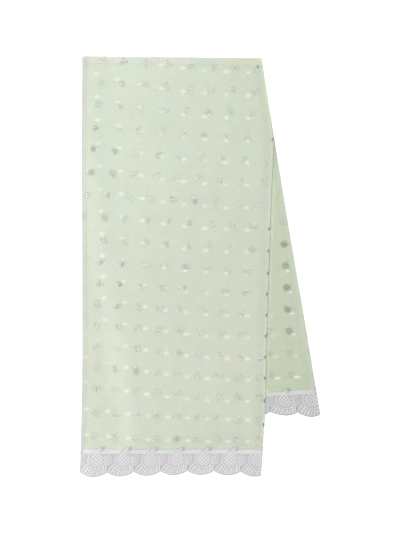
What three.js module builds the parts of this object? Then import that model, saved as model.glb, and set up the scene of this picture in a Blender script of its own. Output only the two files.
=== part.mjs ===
// A saree folded into a narrow strip and laid flat, doubled once across its fall.
// The long cloth is pleated back and forth into panels of one width, and the strip is then
// turned over at the top. The front flap lies on the rear flap, which fans out to the right.
// Each flap ends in the scalloped lace border that is sewn along both long edges of the cloth.
//
// Frame: millimetres, +Z up from the surface that it lies on, +Y towards the turned top edge.
// The origin is the middle of the footprint, on that surface.

import * as THREE from "three";

const { clamp, lerp, smoothstep } = THREE.MathUtils;

// Outline of the folded strip
const FRONT_FALL = 620; // top edge to the tips of the front scallops
const OVERALL_WIDTH = 352.5; // left edge of the front flap to the rear flap's lower right corner
const TOP_Y = FRONT_FALL / 2;
const LEFT_X = -OVERALL_WIDTH / 2;
const TOP_SLOPE = 3; // the top edge's right end lies this much lower than its left end

// Edges of the front flap: how far down from the top, and how far from the left limit
const FRONT_EDGES = [
  { down: 0, left: 2.6, right: 266.6 },
  { down: 60, left: 2.6, right: 275.8 },
  { down: 124, left: 2.6, right: 284.8 },
  { down: 138, left: 2.6, right: 284 },
  { down: 215, left: 2.8, right: 280.8 },
  { down: 300, left: 3.1, right: 278 },
  { down: 400, left: 3.4, right: 274.9 },
  { down: 470, left: 3.1, right: 273.3 },
  { down: 528, left: 2.2, right: 272.3 },
  { down: 582, left: 0.8, right: 268.6 },
  { down: 620, left: 0, right: 266 },
];

// The rear flap leans to the right and its rows climb a little to the right
const REAR_LEAN = 0.1634; // sideways for each millimetre down
const REAR_SLANT = 18; // its left end hangs this much lower than its right end
const REAR_SEAM = 491.5; // top edge to the right end of the rear lace seam

// Lace border
const BORDER_DEPTH = 39.5; // seam to scallop tips
const SCALLOP_PITCH = 39.5;
const SCALLOP_DEPTH = 7;
const BORDER_INSETS = [1.6, 3.2, 2.2, 3.8, 2.6]; // how far each hidden border stays back
const FRONT_END_SLOPES = [-0.022, -0.06]; // sideways run of the front lace's two ends
const FRONT_SCALLOP_START = 0;
const REAR_SCALLOP_START = 8; // the rear fold cuts its first scallop short
const FRONT_GATHER = { share: 0.085, skew: 1.6 }; // the front lace draws up most past its middle
const REAR_GATHER = { share: 0.17, from: 0.72, to: 0.98 }; // the rear lace draws up to the left

// Cloth and layers
const WALL = 1; // a panel that shows
const GAP = 0.3;
const FLAP_GAP = 0.7; // between the two flaps
const LAYERS = 2.4; // twenty hidden layers of 0.12 mm
const FOLD_INSETS = [1.5, 2.6, 1.7, 3.2, 2.1]; // how far each edge fold stays back
const GROOVE = 1.5; // depth of the groove between two edge folds
const NOSE = 0.22; // share of a fold's height that its rounded corner takes
const CURL = 1.3; // a showing panel rolls this far over the edge

const TURN_INNER = (GAP + WALL + FLAP_GAP) / 2;
const TURN_OUTER = TURN_INNER + LAYERS + GAP + WALL;
const FRONT_LIFT = TURN_OUTER + TURN_INNER; // underside of the front flap where it lies on the rear
const REAR_TOP = TURN_OUTER - TURN_INNER; // top of the rear flap's hidden layers
const SEAM_GAP = 0.3;

// How the front flap comes down to the surface past the rear flap's edges
const DROP_MARGIN = 6;
const DROP_RUN = 38;

// Raised paisleys of the lace
const PAISLEY = { along: 23.3, down: 14.5, radius: 11.5, soft: 2.4 };
const LEAF = { along: 1.5, down: 14, halfWidth: 4.6, halfHeight: 8, soft: 0.55 };
const FRONT_RELIEF = 0.6;
const REAR_RELIEF = 0.35;

// How finely the walls are divided
const FRONT_SPANS = [
  { until: 470, steps: 6 }, // from the seam, where the flap comes down past the rear flap's tail
  { until: 124, steps: 8 }, // down the long edges
  { until: TURN_OUTER + TOP_SLOPE, steps: 4 }, // the flared top, up to the turn
];
const TURN_STEPS = 8;
const REAR_SPAN = { from: 30, steps: 9 };
const FACE = { margin: 8, spacing: 6, steps: 5 }; // points across a row
const LACE_GRID = { along: 10, down: 8 }; // steps in a scallop, and from seam to edge
const STACK_STEPS = 7; // steps in a scallop of the hidden borders
const STACK_SHARES = { from: 0.12, to: 0.72, groove: 0.92 }; // heights in each bundle of borders

// A showing panel's rolled edge: inset from its side, and rise from the layers that it lies on
const ROLL_OUTSIDE = [
  { inset: 0, rise: -CURL },
  { inset: 0, rise: 0.2 },
  { inset: 0.4, rise: 0.75 },
  { inset: 1.5, rise: WALL },
];
const ROLL_INSIDE = [
  { inset: WALL, rise: -CURL },
  { inset: WALL, rise: -0.1 },
  { inset: 1.35, rise: 0 },
];

/** Left and right limits of the front flap at a distance down from the top edge. */
function frontEdges(down) {
  const last = FRONT_EDGES.length - 1;
  let i = 0;
  while (i < last - 1 && down > FRONT_EDGES[i + 1].down) i += 1;
  const a = FRONT_EDGES[i];
  const b = FRONT_EDGES[i + 1];
  const t = (down - a.down) / (b.down - a.down);
  return { left: lerp(a.left, b.left, t), right: lerp(a.right, b.right, t) };
}

const plan = (across, down) => new THREE.Vector2(LEFT_X + across, TOP_Y - down);

/** Where the rear flap's two side edges lie, at distances down measured at its right edge. */
function rearRow(down) {
  const share = down / REAR_SEAM;
  const leftDown = down + REAR_SLANT * share - TOP_SLOPE * (1 - share);
  const { left, right } = FRONT_EDGES[0];
  return {
    left: plan(left + REAR_LEAN * leftDown, leftDown),
    right: plan(right + REAR_LEAN * (down - TOP_SLOPE), down),
  };
}

/** Height of the front flap's underside: on the rear flap, or down beside it. */
function liftAt(p) {
  const down = TOP_Y - p.y;
  const across = p.x - LEFT_X;
  const insideLeft = across - (FRONT_EDGES[0].left + REAR_LEAN * down);
  const tail = rearRow(REAR_SEAM + BORDER_DEPTH);
  const t = (p.x - tail.left.x) / (tail.right.x - tail.left.x);
  const insideTail = p.y - lerp(tail.left.y, tail.right.y, clamp(t, -0.5, 1.5));
  const inside = Math.min(insideLeft, insideTail);
  return FRONT_LIFT * smoothstep(inside, -DROP_MARGIN - DROP_RUN, -DROP_MARGIN);
}

/** A row of the front flap. Rows near the rear flap's tail run parallel to that tail. */
function frontRow(down) {
  const seam = FRONT_FALL - BORDER_DEPTH;
  const tail = REAR_SEAM + BORDER_DEPTH;
  const slant = down < tail ? smoothstep(down, tail * 0.5, tail) : (seam - down) / (seam - tail);
  const leftDown = down + REAR_SLANT * slant - TOP_SLOPE * clamp(1 - down / 120, 0, 1);
  return {
    left: plan(frontEdges(leftDown).left, leftDown),
    right: plan(frontEdges(down).right, down),
  };
}

/** Stations along the cloth: the front flap upwards, round the turn, then down the rear flap. */
function stations() {
  const rows = frontStations();
  const { left, right } = rows[rows.length - 1];
  return [...rows, ...turnStations(left, right), ...rearStations()];
}

/** Stations up the front flap, from its seam to where the strip turns over. */
function frontStations() {
  const place = (p, v) => new THREE.Vector3(p.x, p.y, liftAt(p) + v);
  let down = FRONT_FALL - BORDER_DEPTH - SEAM_GAP;
  const rows = [{ ...frontRow(down), place }];
  FRONT_SPANS.forEach(({ until, steps }) => {
    for (let i = 1; i <= steps; i += 1) rows.push({ ...frontRow(lerp(down, until, i / steps)), place });
    down = until;
  });
  return rows;
}

/** Stations round the turn, about a level line between the two flaps. */
function turnStations(left, right) {
  const rows = [];
  for (let i = 1; i <= TURN_STEPS; i += 1) {
    const angle = (Math.PI * i) / TURN_STEPS;
    const place = (p, v) => {
      const r = TURN_INNER + v;
      return new THREE.Vector3(p.x, p.y + r * Math.sin(angle), TURN_OUTER + r * Math.cos(angle));
    };
    rows.push({ left, right, place });
  }
  return rows;
}

/** Stations down the rear flap, from just past the turn to its seam. */
function rearStations() {
  const rows = [];
  const place = (p, v) => new THREE.Vector3(p.x, p.y, REAR_TOP - v);
  for (let i = 0; i <= REAR_SPAN.steps; i += 1) {
    const down = lerp(REAR_SPAN.from, REAR_SEAM - SEAM_GAP, i / REAR_SPAN.steps);
    rows.push({ ...rearRow(down), place });
  }
  return rows;
}

/** Shares across a row for the points of its faces, gathered where the front flap steps down. */
function faceShares(row) {
  const width = row.right.x - row.left.x;
  const rearEdge = FRONT_EDGES[0].left + REAR_LEAN * (TOP_Y - row.left.y) - (row.left.x - LEFT_X);
  const level = rearEdge - DROP_MARGIN;
  const marks = [level - DROP_RUN, level - DROP_RUN / 2, level];
  const places = marks.map((mark, i) => Math.max(mark, FACE.margin + FACE.spacing * i));
  const start = places[places.length - 1];
  for (let i = 1; i <= FACE.steps; i += 1) places.push(lerp(start, width - FACE.margin, i / FACE.steps));
  return places.map((place) => place / width);
}

/**
 * A closed solid through equal rings of points, with its two end rings capped. Where a face runs
 * back across the cloth its quads are split the other way, so that walls on each other stay parallel.
 */
function skin(rings, flatCap, runsBack = () => false) {
  const n = rings[0].length;
  const positions = rings.flat().flatMap((p) => [p.x, p.y, p.z]);
  const faces = [];
  for (let r = 0; r + 1 < rings.length; r += 1) {
    for (let i = 0; i < n; i += 1) {
      const j = (i + 1) % n;
      const [a, b, c, d] = [r * n + i, r * n + j, (r + 1) * n + j, (r + 1) * n + i];
      if (runsBack(i)) faces.push([a, b, d], [b, c, d]);
      else faces.push([a, b, c], [a, c, d]);
    }
  }
  const last = (rings.length - 1) * n;
  const clockwise = THREE.ShapeUtils.area(flatCap[0]) < 0;
  THREE.ShapeUtils.triangulateShape(flatCap[0], []).forEach(([a, b, c]) => {
    faces.push(clockwise ? [a, b, c] : [a, c, b]);
  });
  THREE.ShapeUtils.triangulateShape(flatCap[1], []).forEach(([a, b, c]) => {
    faces.push(clockwise ? [last + a, last + c, last + b] : [last + a, last + b, last + c]);
  });
  return solid(positions, faces);
}

/** A geometry from points and faces, turned so that its faces point out. */
function solid(positions, faces) {
  let volume = 0;
  const at = (i) => new THREE.Vector3().fromArray(positions, 3 * i);
  faces.forEach(([a, b, c]) => {
    volume += at(a).dot(at(b).cross(at(c)));
  });
  const turned = volume < 0 ? faces.map(([a, b, c]) => [a, c, b]) : faces;
  const geometry = new THREE.BufferGeometry();
  geometry.setAttribute("position", new THREE.Float32BufferAttribute(positions, 3));
  geometry.setIndex(turned.flat());
  geometry.computeVertexNormals();
  return geometry;
}

/** Carries a profile of {share, v} points through every station. */
function sweep(rows, profileOf) {
  const profiles = rows.map(profileOf);
  const rings = rows.map((row, k) =>
    profiles[k].map(({ share, v }) => row.place(row.left.clone().lerp(row.right, share), v)),
  );
  const flat = (k) => {
    const width = rows[k].right.x - rows[k].left.x;
    return profiles[k].map(({ share, v }) => new THREE.Vector2(share * width, v));
  };
  const first = profiles[0];
  const runsBack = (i) => first[(i + 1) % first.length].share < first[i].share;
  return skin(rings, [flat(0), flat(rows.length - 1)], runsBack);
}

/** Edge profile of the stacked folds, from the inner face out: {inset, v} for one side. */
function foldSide() {
  const height = LAYERS / FOLD_INSETS.length;
  const side = [];
  FOLD_INSETS.forEach((inset, i) => {
    const v = i * height;
    side.push({ inset: inset + GROOVE, v });
    side.push({ inset, v: v + NOSE * height });
    side.push({ inset, v: v + (1 - NOSE) * height });
  });
  side.push({ inset: FOLD_INSETS[0] + GROOVE, v: LAYERS });
  return side;
}

/** A row's profile: two sides of {inset, v}, left and right, joined by its two faces. */
function closedProfile(row, side, nearFace, farFace) {
  const width = row.right.x - row.left.x;
  const shares = faceShares(row);
  const left = side.map(({ inset, v }) => ({ share: inset / width, v }));
  const right = side.map(({ inset, v }) => ({ share: 1 - inset / width, v })).reverse();
  return [
    ...left,
    ...shares.map((share) => ({ share, v: farFace })),
    ...right,
    ...shares.map((share) => ({ share, v: nearFace })).reverse(),
  ];
}

/** All the hidden layers as one solid, with the folds of their edges on both sides. */
function foldedLayers() {
  const side = foldSide();
  return sweep(stations(), (row) => closedProfile(row, side, 0, LAYERS));
}

/** A showing panel on the layers' face at `near`: a wall whose sides roll over the folds. */
function panel(rows, near, outwards) {
  const side = (points) => points.map(({ inset, rise }) => ({ inset, v: near + outwards * rise }));
  const profile = [...side(ROLL_INSIDE).reverse(), ...side(ROLL_OUTSIDE)];
  return sweep(rows, (row) => closedProfile(row, profile, near, near + outwards * WALL));
}

/** The panel that shows on the front flap, round the turn and on the underside. */
const outerPanel = () => panel(stations(), LAYERS + GAP, 1);

/** The panel that shows on top of the rear flap, under the front flap. */
const innerPanel = () => panel(rearStations(), -GAP, -1);

/**
 * The lace's frame: its seam from left to right, the ways its two ends run down from it, and the
 * share of its depth that it keeps at a share of the way along, where it draws up.
 */
function borderFrame(row, endSlopes, start, depthShare, baseOf) {
  const seam = row.right.clone().sub(row.left);
  const [leftEnd, rightEnd] = endSlopes.map((slope) => new THREE.Vector2(slope, -1).normalize());
  return { origin: row.left, seam, leftEnd, rightEnd, width: seam.length(), start, depthShare, baseOf };
}

/** A place on the lace: s along the seam from its left end, d down from it. */
function borderPoint(frame, s, d) {
  const share = s / frame.width;
  const downwards = frame.leftEnd.clone().lerp(frame.rightEnd, share);
  const down = d * frame.depthShare(share);
  return frame.origin.clone().addScaledVector(frame.seam, share).addScaledVector(downwards, down);
}

/** How far into its scallop a place s along the seam lies. */
const phaseAt = (frame, s) => (((s + frame.start) % SCALLOP_PITCH) + SCALLOP_PITCH) % SCALLOP_PITCH;

/** Depth of the lace below its seam, s along it: round scallops that meet in notches. */
function scallopDepth(frame, s) {
  const half = SCALLOP_PITCH / 2;
  const radius = (half * half + SCALLOP_DEPTH * SCALLOP_DEPTH) / (2 * SCALLOP_DEPTH);
  const aside = phaseAt(frame, s) - half;
  const rise = Math.sqrt(radius * radius - aside * aside) - (radius - SCALLOP_DEPTH);
  return BORDER_DEPTH - SCALLOP_DEPTH + rise;
}

/** Places along the lace with a point on every notch, none of them close to an end. */
function borderMarks(frame, steps) {
  const step = SCALLOP_PITCH / steps;
  const clear = step * 0.35;
  const marks = [0];
  const first = Math.ceil(frame.start / step) * step - frame.start;
  for (let s = first; s < frame.width - clear; s += step) {
    if (s > clear) marks.push(s);
  }
  return [...marks, frame.width];
}

/** Share of full relief at a place on the lace: a round paisley in each scallop, a leaf between. */
function reliefShare(frame, s, d) {
  const phase = phaseAt(frame, s);
  const body = Math.hypot(phase - PAISLEY.along, d - PAISLEY.down);
  const aside = Math.abs(phase - LEAF.along);
  const leafAlong = Math.min(aside, SCALLOP_PITCH - aside);
  const leaf = Math.hypot(leafAlong / LEAF.halfWidth, (d - LEAF.down) / LEAF.halfHeight);
  const onBody = 1 - smoothstep(body, PAISLEY.radius - PAISLEY.soft, PAISLEY.radius);
  return Math.max(onBody, 1 - smoothstep(leaf, LEAF.soft, 1));
}

/** One showing lace border: relief on the outer side, plain inside. */
function borderWall(frame, relief) {
  const marks = borderMarks(frame, LACE_GRID.along);
  const rings = marks.map((s) => {
    const depth = scallopDepth(frame, s);
    const at = (d, v) => {
      const p = borderPoint(frame, s, d);
      return new THREE.Vector3(p.x, p.y, frame.baseOf(p) + v);
    };
    const outside = [];
    for (let j = 0; j <= LACE_GRID.down; j += 1) {
      const d = (depth * j) / LACE_GRID.down;
      outside.push(at(d, WALL + relief * reliefShare(frame, s, d)));
    }
    return [...outside, at(depth, 0), at(0, 0)];
  });
  const flat = (ring) => ring.map((p) => new THREE.Vector2(-p.y, p.z));
  return skin(rings, [flat(rings[0]), flat(rings[rings.length - 1])]);
}

/** The scalloped outline of one bundle of hidden borders, set back from the showing one. */
function stackOutline(frame, inset) {
  const scale = (frame.width - 2 * inset) / frame.width;
  const tips = borderMarks(frame, STACK_STEPS).map((s) => ({
    s: inset + s * scale,
    d: scallopDepth(frame, s) - inset,
  }));
  return [{ s: inset, d: 0 }, ...tips, { s: frame.width - inset, d: 0 }];
}

/** The hidden borders under it: one solid with a scalloped edge for each bundle of layers. */
function borderStack(frame, height) {
  const thick = height / BORDER_INSETS.length;
  const levels = BORDER_INSETS.flatMap((inset, i) => [
    { inset, v: (i + STACK_SHARES.from) * thick },
    { inset, v: (i + STACK_SHARES.to) * thick },
    { inset: inset + GROOVE, v: (i + STACK_SHARES.groove) * thick },
  ]);
  levels.pop();
  levels[0].v = 0;
  levels[levels.length - 1].v = height;
  const rings = levels.map(({ inset, v }) =>
    stackOutline(frame, inset).map(({ s, d }) => {
      const p = borderPoint(frame, s, d);
      return new THREE.Vector3(p.x, p.y, frame.baseOf(p) + v);
    }),
  );
  const flat = ({ inset }) => stackOutline(frame, inset).map(({ s, d }) => new THREE.Vector2(s, d));
  return skin(rings, [flat(levels[0]), flat(levels[levels.length - 1])]);
}

/** The front flap's lace seam: where its border hangs, and the height of the layers under it. */
function frontFrame(height) {
  const row = frontRow(FRONT_FALL - BORDER_DEPTH);
  const depthShare = (share) => 1 - FRONT_GATHER.share * Math.sin(Math.PI * share ** FRONT_GATHER.skew);
  return borderFrame(row, FRONT_END_SLOPES, FRONT_SCALLOP_START, depthShare, (p) => liftAt(p) + height);
}

/** The rear flap's lace seam, with the border's underside at one height. */
function rearFrame(height) {
  const { share: drawn, from, to } = REAR_GATHER;
  const depthShare = (share) => 1 - drawn * (1 - smoothstep(share, from, to));
  const slopes = [REAR_LEAN, REAR_LEAN];
  return borderFrame(rearRow(REAR_SEAM), slopes, REAR_SCALLOP_START, depthShare, () => height);
}

const frontBorder = () => borderWall(frontFrame(LAYERS + GAP), FRONT_RELIEF);
const frontBorderLayers = () => borderStack(frontFrame(0), LAYERS);
const rearBorder = () => borderWall(rearFrame(REAR_TOP + GAP), REAR_RELIEF);
const rearBorderLayers = () => borderStack(rearFrame(0), REAR_TOP);

const cloth = new THREE.MeshStandardMaterial({ color: 0xd6dfcc, roughness: 0.7, metalness: 0 });
const hiddenCloth = new THREE.MeshStandardMaterial({ color: 0xc6cfb9, roughness: 0.75, metalness: 0 });
const lace = new THREE.MeshStandardMaterial({ color: 0xd8d5d6, roughness: 0.6, metalness: 0.1 });

const saree = new THREE.Group();

function add(name, geometry, material) {
  const mesh = new THREE.Mesh(geometry, material);
  mesh.name = name;
  saree.add(mesh);
}

add("folded_layers", foldedLayers(), hiddenCloth);
add("outer_panel", outerPanel(), cloth);
add("inner_panel", innerPanel(), cloth);
add("front_border", frontBorder(), lace);
add("front_border_layers", frontBorderLayers(), lace);
add("rear_border", rearBorder(), lace);
add("rear_border_layers", rearBorderLayers(), lace);

export default saree;
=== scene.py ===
"""Dresses a folded saree: sheer cloth with woven rounds, and a scalloped lace border.

The cloth is pleated into a narrow strip and doubled over its top edge. All sizes are in metres
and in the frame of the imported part: +Z up from the surface that it lies on, +Y towards the
turned top edge, with the origin in the middle of the footprint.
"""

from __future__ import annotations

import logging
import math
import random
from dataclasses import dataclass, field
from enum import Enum
from functools import partial
from typing import Callable, Iterator, Sequence

import bpy
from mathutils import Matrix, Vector


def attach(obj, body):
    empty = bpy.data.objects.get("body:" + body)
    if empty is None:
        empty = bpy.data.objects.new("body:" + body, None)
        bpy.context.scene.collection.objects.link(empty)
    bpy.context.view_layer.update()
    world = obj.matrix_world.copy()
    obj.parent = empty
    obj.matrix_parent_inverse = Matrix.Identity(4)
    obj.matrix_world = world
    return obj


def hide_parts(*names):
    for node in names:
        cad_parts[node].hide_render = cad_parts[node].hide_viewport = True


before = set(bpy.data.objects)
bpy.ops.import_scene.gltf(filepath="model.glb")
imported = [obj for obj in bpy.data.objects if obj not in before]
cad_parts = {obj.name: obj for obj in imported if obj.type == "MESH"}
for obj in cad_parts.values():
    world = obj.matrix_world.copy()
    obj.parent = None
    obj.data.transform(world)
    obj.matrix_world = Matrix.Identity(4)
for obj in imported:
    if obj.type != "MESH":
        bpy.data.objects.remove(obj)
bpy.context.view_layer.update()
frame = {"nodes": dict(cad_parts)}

LOG = logging.getLogger("saree")

Pair = tuple[float, float]
Point = tuple[float, float, float]
Paint = tuple[float, float, float]
Place = Callable[[float, float, float], Point]
Tint = Callable[[float, float, float, float], Paint]
RowSteps = tuple[tuple[int, int, float], ...]

PLAIN: Paint = (1.0, 1.0, 1.0)
SHARP_BEND = math.radians(40)


def lerp(start: float, end: float, share: float) -> float:
    """Return the value a share of the way from start to end."""
    return start + (end - start) * share


def clamp(value: float, low: float = 0.0, high: float = 1.0) -> float:
    """Return value kept between low and high."""
    return max(low, min(high, value))


def smoothstep(value: float, low: float, high: float) -> float:
    """Return 0 below low, 1 above high and a smooth rise between them."""
    t = clamp((value - low) / (high - low))
    return t * t * (3 - 2 * t)


def fade(value: float, low: float, high: float) -> float:
    """Return 1 below low, 0 above high and a smooth fall between them."""
    return 1 - smoothstep(value, low, high)


def bell(value: float, middle: float, half: float) -> float:
    """Return 1 at the middle, falling off smoothly over about half on each side."""
    return math.exp(-(((value - middle) / half) ** 2))


def mix_paint(first: Paint, second: Paint, share: float) -> Paint:
    """Return the paint a share of the way from first to second."""
    return tuple(lerp(a, b, share) for a, b in zip(first, second))


def between(start: Pair, end: Pair, share: float) -> Pair:
    """Return the plan point a share of the way from start to end."""
    return lerp(start[0], end[0], share), lerp(start[1], end[1], share)


@dataclass(frozen=True)
class Mark:
    """Where the front flap's two edges lie at a distance down from the top."""

    down: float
    left: float
    right: float


@dataclass(frozen=True)
class Crease:
    """A soft trough or ridge in the cloth: a line in plan, its half width and its height."""

    start: Pair
    end: Pair
    width: float
    height: float

    def at(self, x: float, y: float) -> float:
        """Return how much it lifts the cloth at a plan point.

        Args:
            x: Plan position.
            y: Plan position.

        Returns:
            The lift in metres, negative in a trough.
        """
        along = (self.end[0] - self.start[0], self.end[1] - self.start[1])
        length = math.hypot(*along)
        dx, dy = x - self.start[0], y - self.start[1]
        t = (dx * along[0] + dy * along[1]) / length**2
        if not 0 < t < 1:
            return 0.0
        aside = (dx * along[1] - dy * along[0]) / length / self.width
        if abs(aside) > 3:
            return 0.0
        return self.height * math.exp(-aside * aside) * math.sin(math.pi * t) ** 0.7


@dataclass(frozen=True)
class StripPlan:
    """The folded strip's outline and layers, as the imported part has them."""

    fall: float = 0.620
    width: float = 0.3525
    top_slope: float = 0.003
    rear_lean: float = 0.1634
    rear_slant: float = 0.018
    rear_seam: float = 0.4915
    rear_seam_end: float = 0.168
    rear_seam_run: float = 0.27
    lace_depth: float = 0.0395
    front_lace_ends: Pair = (-0.022, -0.06)
    rear_first_scallop: float = 0.008
    seam_gap: float = 0.0003
    marks: tuple[Mark, ...] = (
        Mark(0.000, 0.0026, 0.2666),
        Mark(0.060, 0.0026, 0.2758),
        Mark(0.124, 0.0026, 0.2848),
        Mark(0.138, 0.0026, 0.2840),
        Mark(0.215, 0.0028, 0.2808),
        Mark(0.300, 0.0031, 0.2780),
        Mark(0.400, 0.0034, 0.2749),
        Mark(0.470, 0.0031, 0.2733),
        Mark(0.528, 0.0022, 0.2723),
        Mark(0.582, 0.0008, 0.2686),
        Mark(0.620, 0.0000, 0.2660),
    )
    wall: float = 0.001
    gap: float = 0.0003
    layers: float = 0.0024
    flap_gap: float = 0.0007
    drop_margin: float = 0.006
    drop_run: float = 0.038
    nose: float = 1.2

    @property
    def top_y(self) -> float:
        """Return the top edge's place."""
        return self.fall / 2

    @property
    def left_x(self) -> float:
        """Return the place of the left limit."""
        return -self.width / 2

    @property
    def turn_inner(self) -> float:
        """Return the inner radius of the turn at the top."""
        return (self.gap + self.wall + self.flap_gap) / 2

    @property
    def turn_outer(self) -> float:
        """Return the outer radius of the turn, which is also its centre's height."""
        return self.turn_inner + self.layers + self.gap + self.wall

    @property
    def front_lift(self) -> float:
        """Return how high the front flap's inner face lies on the rear flap."""
        return self.turn_outer + self.turn_inner

    @property
    def rear_top(self) -> float:
        """Return the height of the rear flap's hidden layers."""
        return self.turn_outer - self.turn_inner

    @property
    def face(self) -> float:
        """Return the height of a showing panel's outer face over the layers' inner face."""
        return self.layers + self.gap + self.wall

    @property
    def seam(self) -> float:
        """Return the distance down from the top to the front lace seam."""
        return self.fall - self.lace_depth

    def plan(self, across: float, down: float) -> Pair:
        """Return the plan point across from the left limit and down from the top."""
        return self.left_x + across, self.top_y - down

    def edges(self, down: float) -> Pair:
        """Return how far across the front flap's left and right edges lie.

        Args:
            down: Distance down from the top.

        Returns:
            The two distances across from the left limit.
        """
        i = 0
        while i < len(self.marks) - 2 and down > self.marks[i + 1].down:
            i += 1
        a, b = self.marks[i], self.marks[i + 1]
        t = (down - a.down) / (b.down - a.down)
        return lerp(a.left, b.left, t), lerp(a.right, b.right, t)

    def rear_row(self, down: float) -> tuple[Pair, Pair]:
        """Return the two ends of a row of the rear flap, down as measured at its right edge.

        Args:
            down: Distance down at the row's right end.

        Returns:
            The row's left and right end in plan.
        """
        share = down / self.rear_seam
        left_down = down + self.rear_slant * share - self.top_slope * (1 - share)
        first = self.marks[0]
        left = self.plan(first.left + self.rear_lean * left_down, left_down)
        right = self.plan(first.right + self.rear_lean * (down - self.top_slope), down)
        return left, right

    def rear_edges(self, y: float) -> Pair:
        """Return the rear flap's two side edges at a plan height.

        Args:
            y: Plan position.

        Returns:
            The plan position of the left and of the right edge.
        """
        first, down = self.marks[0], self.top_y - y
        left = self.left_x + first.left + self.rear_lean * down
        return left, self.left_x + first.right + self.rear_lean * (down - self.top_slope)

    def front_row(self, down: float) -> tuple[Pair, Pair]:
        """Return the two ends of a row of the front flap.

        Args:
            down: Distance down at the row's right end.

        Returns:
            The row's left and right end in plan.
        """
        tail = self.rear_seam + self.lace_depth
        if down < tail:
            slant = smoothstep(down, tail * 0.5, tail)
        else:
            slant = (self.seam - down) / (self.seam - tail)
        left_down = down + self.rear_slant * slant - self.top_slope * clamp(1 - down / 0.120)
        left = self.plan(self.edges(left_down)[0], left_down)
        return left, self.plan(self.edges(down)[1], down)

    def lift(self, x: float, y: float) -> float:
        """Return the height of the front flap's inner face: on the rear flap or down beside it.

        Args:
            x: Plan position.
            y: Plan position.

        Returns:
            The height in metres, none where it lies beside the rear flap.
        """
        inside_left = x - self.left_x - (self.marks[0].left + self.rear_lean * (self.top_y - y))
        left, right = self.rear_row(self.rear_seam + self.lace_depth)
        t = clamp((x - left[0]) / (right[0] - left[0]), -0.5, 1.5)
        inside = min(inside_left, y - lerp(left[1], right[1], t))
        return self.front_lift * smoothstep(inside, -self.drop_margin - self.drop_run, -self.drop_margin)


PLAN = StripPlan()

FRONT_CREASES: tuple[Crease, ...] = (
    Crease((-0.009, -0.200), (-0.013, -0.276), 0.0030, -0.00040),
    Crease((0.072, -0.150), (0.078, -0.272), 0.0055, 0.00045),
    Crease((0.030, 0.300), (0.050, 0.130), 0.0080, 0.00035),
    Crease((-0.168, 0.125), (0.088, 0.108), 0.0060, 0.00030),
    Crease((-0.150, -0.045), (0.060, -0.062), 0.0070, -0.00030),
    Crease((-0.170, -0.150), (0.020, -0.160), 0.0060, 0.00032),
    Crease((-0.120, 0.020), (0.095, 0.006), 0.0090, 0.00030),
    Crease((-0.100, 0.230), (0.060, 0.222), 0.0070, -0.00025),
    Crease((-0.134, -0.215), (-0.128, -0.274), 0.0040, 0.00030),
)
REAR_CREASES: tuple[Crease, ...] = (
    Crease((0.092, -0.1705), (0.168, -0.1640), 0.0022, -0.00100),
    Crease((0.126, 0.060), (0.146, -0.150), 0.0045, 0.00045),
    Crease((0.110, 0.100), (0.116, -0.020), 0.0030, -0.00030),
    Crease((0.104, -0.080), (0.158, -0.086), 0.0050, -0.00030),
)
UNDER_CREASES: tuple[Crease, ...] = (
    Crease((-0.120, 0.240), (0.080, 0.225), 0.0060, 0.00030),
    Crease((-0.060, 0.160), (-0.020, -0.120), 0.0045, 0.00040),
    Crease((0.080, 0.060), (0.110, -0.140), 0.0050, 0.00035),
    Crease((-0.070, -0.040), (0.120, -0.060), 0.0070, 0.00030),
)


def undulation(x: float, y: float) -> float:
    """Return the cloth's slow rise and fall at a plan point, as a share from -1 to 1.

    Args:
        x: Plan position.
        y: Plan position.

    Returns:
        The share.
    """
    first = math.sin(x * 47 + 1.3 * math.sin(y * 21)) * math.sin(y * 33 + 0.7)
    second = math.sin(x * 93 - y * 61 + 2.1)
    third = math.sin(x * 19 + y * 118 + 0.4)
    return 0.5 * first + 0.28 * second + 0.22 * third


def front_relief(x: float, y: float) -> float:
    """Return how far the front flap's cloth stands over its plain form; none at its seam."""
    total = sum(c.at(x, y) for c in FRONT_CREASES) + 0.00032 * undulation(x, y)
    return total * smoothstep(y - PLAN.top_y + PLAN.seam, 0.008, 0.028)


def rear_relief(x: float, y: float) -> float:
    """Return how far the rear flap's upper cloth stands over its plain form; none at its seam.

    Args:
        x: Plan position.
        y: Plan position.

    Returns:
        The height in metres, negative where it dips.
    """
    slant = PLAN.rear_slant * clamp((PLAN.rear_seam_end - x) / PLAN.rear_seam_run)
    above_seam = y - PLAN.top_y + PLAN.rear_seam + slant
    total = sum(c.at(x, y) for c in REAR_CREASES) + 0.00020 * undulation(x + 0.4, y)
    return total * smoothstep(above_seam, 0.004, 0.012)


def under_relief(x: float, y: float) -> float:
    """Return how far the underside's cloth stands clear of the surface."""
    return sum(c.at(x, y) for c in UNDER_CREASES)


@dataclass(frozen=True)
class Pressing:
    """How far the cloth is pressed and spread along its side folds, and over which distances."""

    thinner: float = 0.70
    thin_inset: Pair = (0.0, 0.016)
    thin_down: Pair = (0.008, 0.036)
    sink: float = 0.00075
    sink_inset: Pair = (0.0, 0.014)
    spread_inset: Pair = (0.0, 0.020)
    left_spread: float = 0.0011
    left_down: Pair = (0.010, 0.160)
    right_spread: float = 0.0012
    right_down: Pair = (0.250, 0.420)
    rear_from: float = 0.022


PRESS = Pressing()


def kept_thickness(inside: float, from_turn: float) -> float:
    """Return the share of its thickness that the pressed cloth keeps.

    Args:
        inside: Distance in from the nearest side edge, where it is pressed thinner.
        from_turn: Distance from the turned top edge, which stays round.

    Returns:
        A share of up to 1.
    """
    press = fade(inside, *PRESS.thin_inset) * smoothstep(from_turn, *PRESS.thin_down)
    return 1 - PRESS.thinner * press


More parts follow.
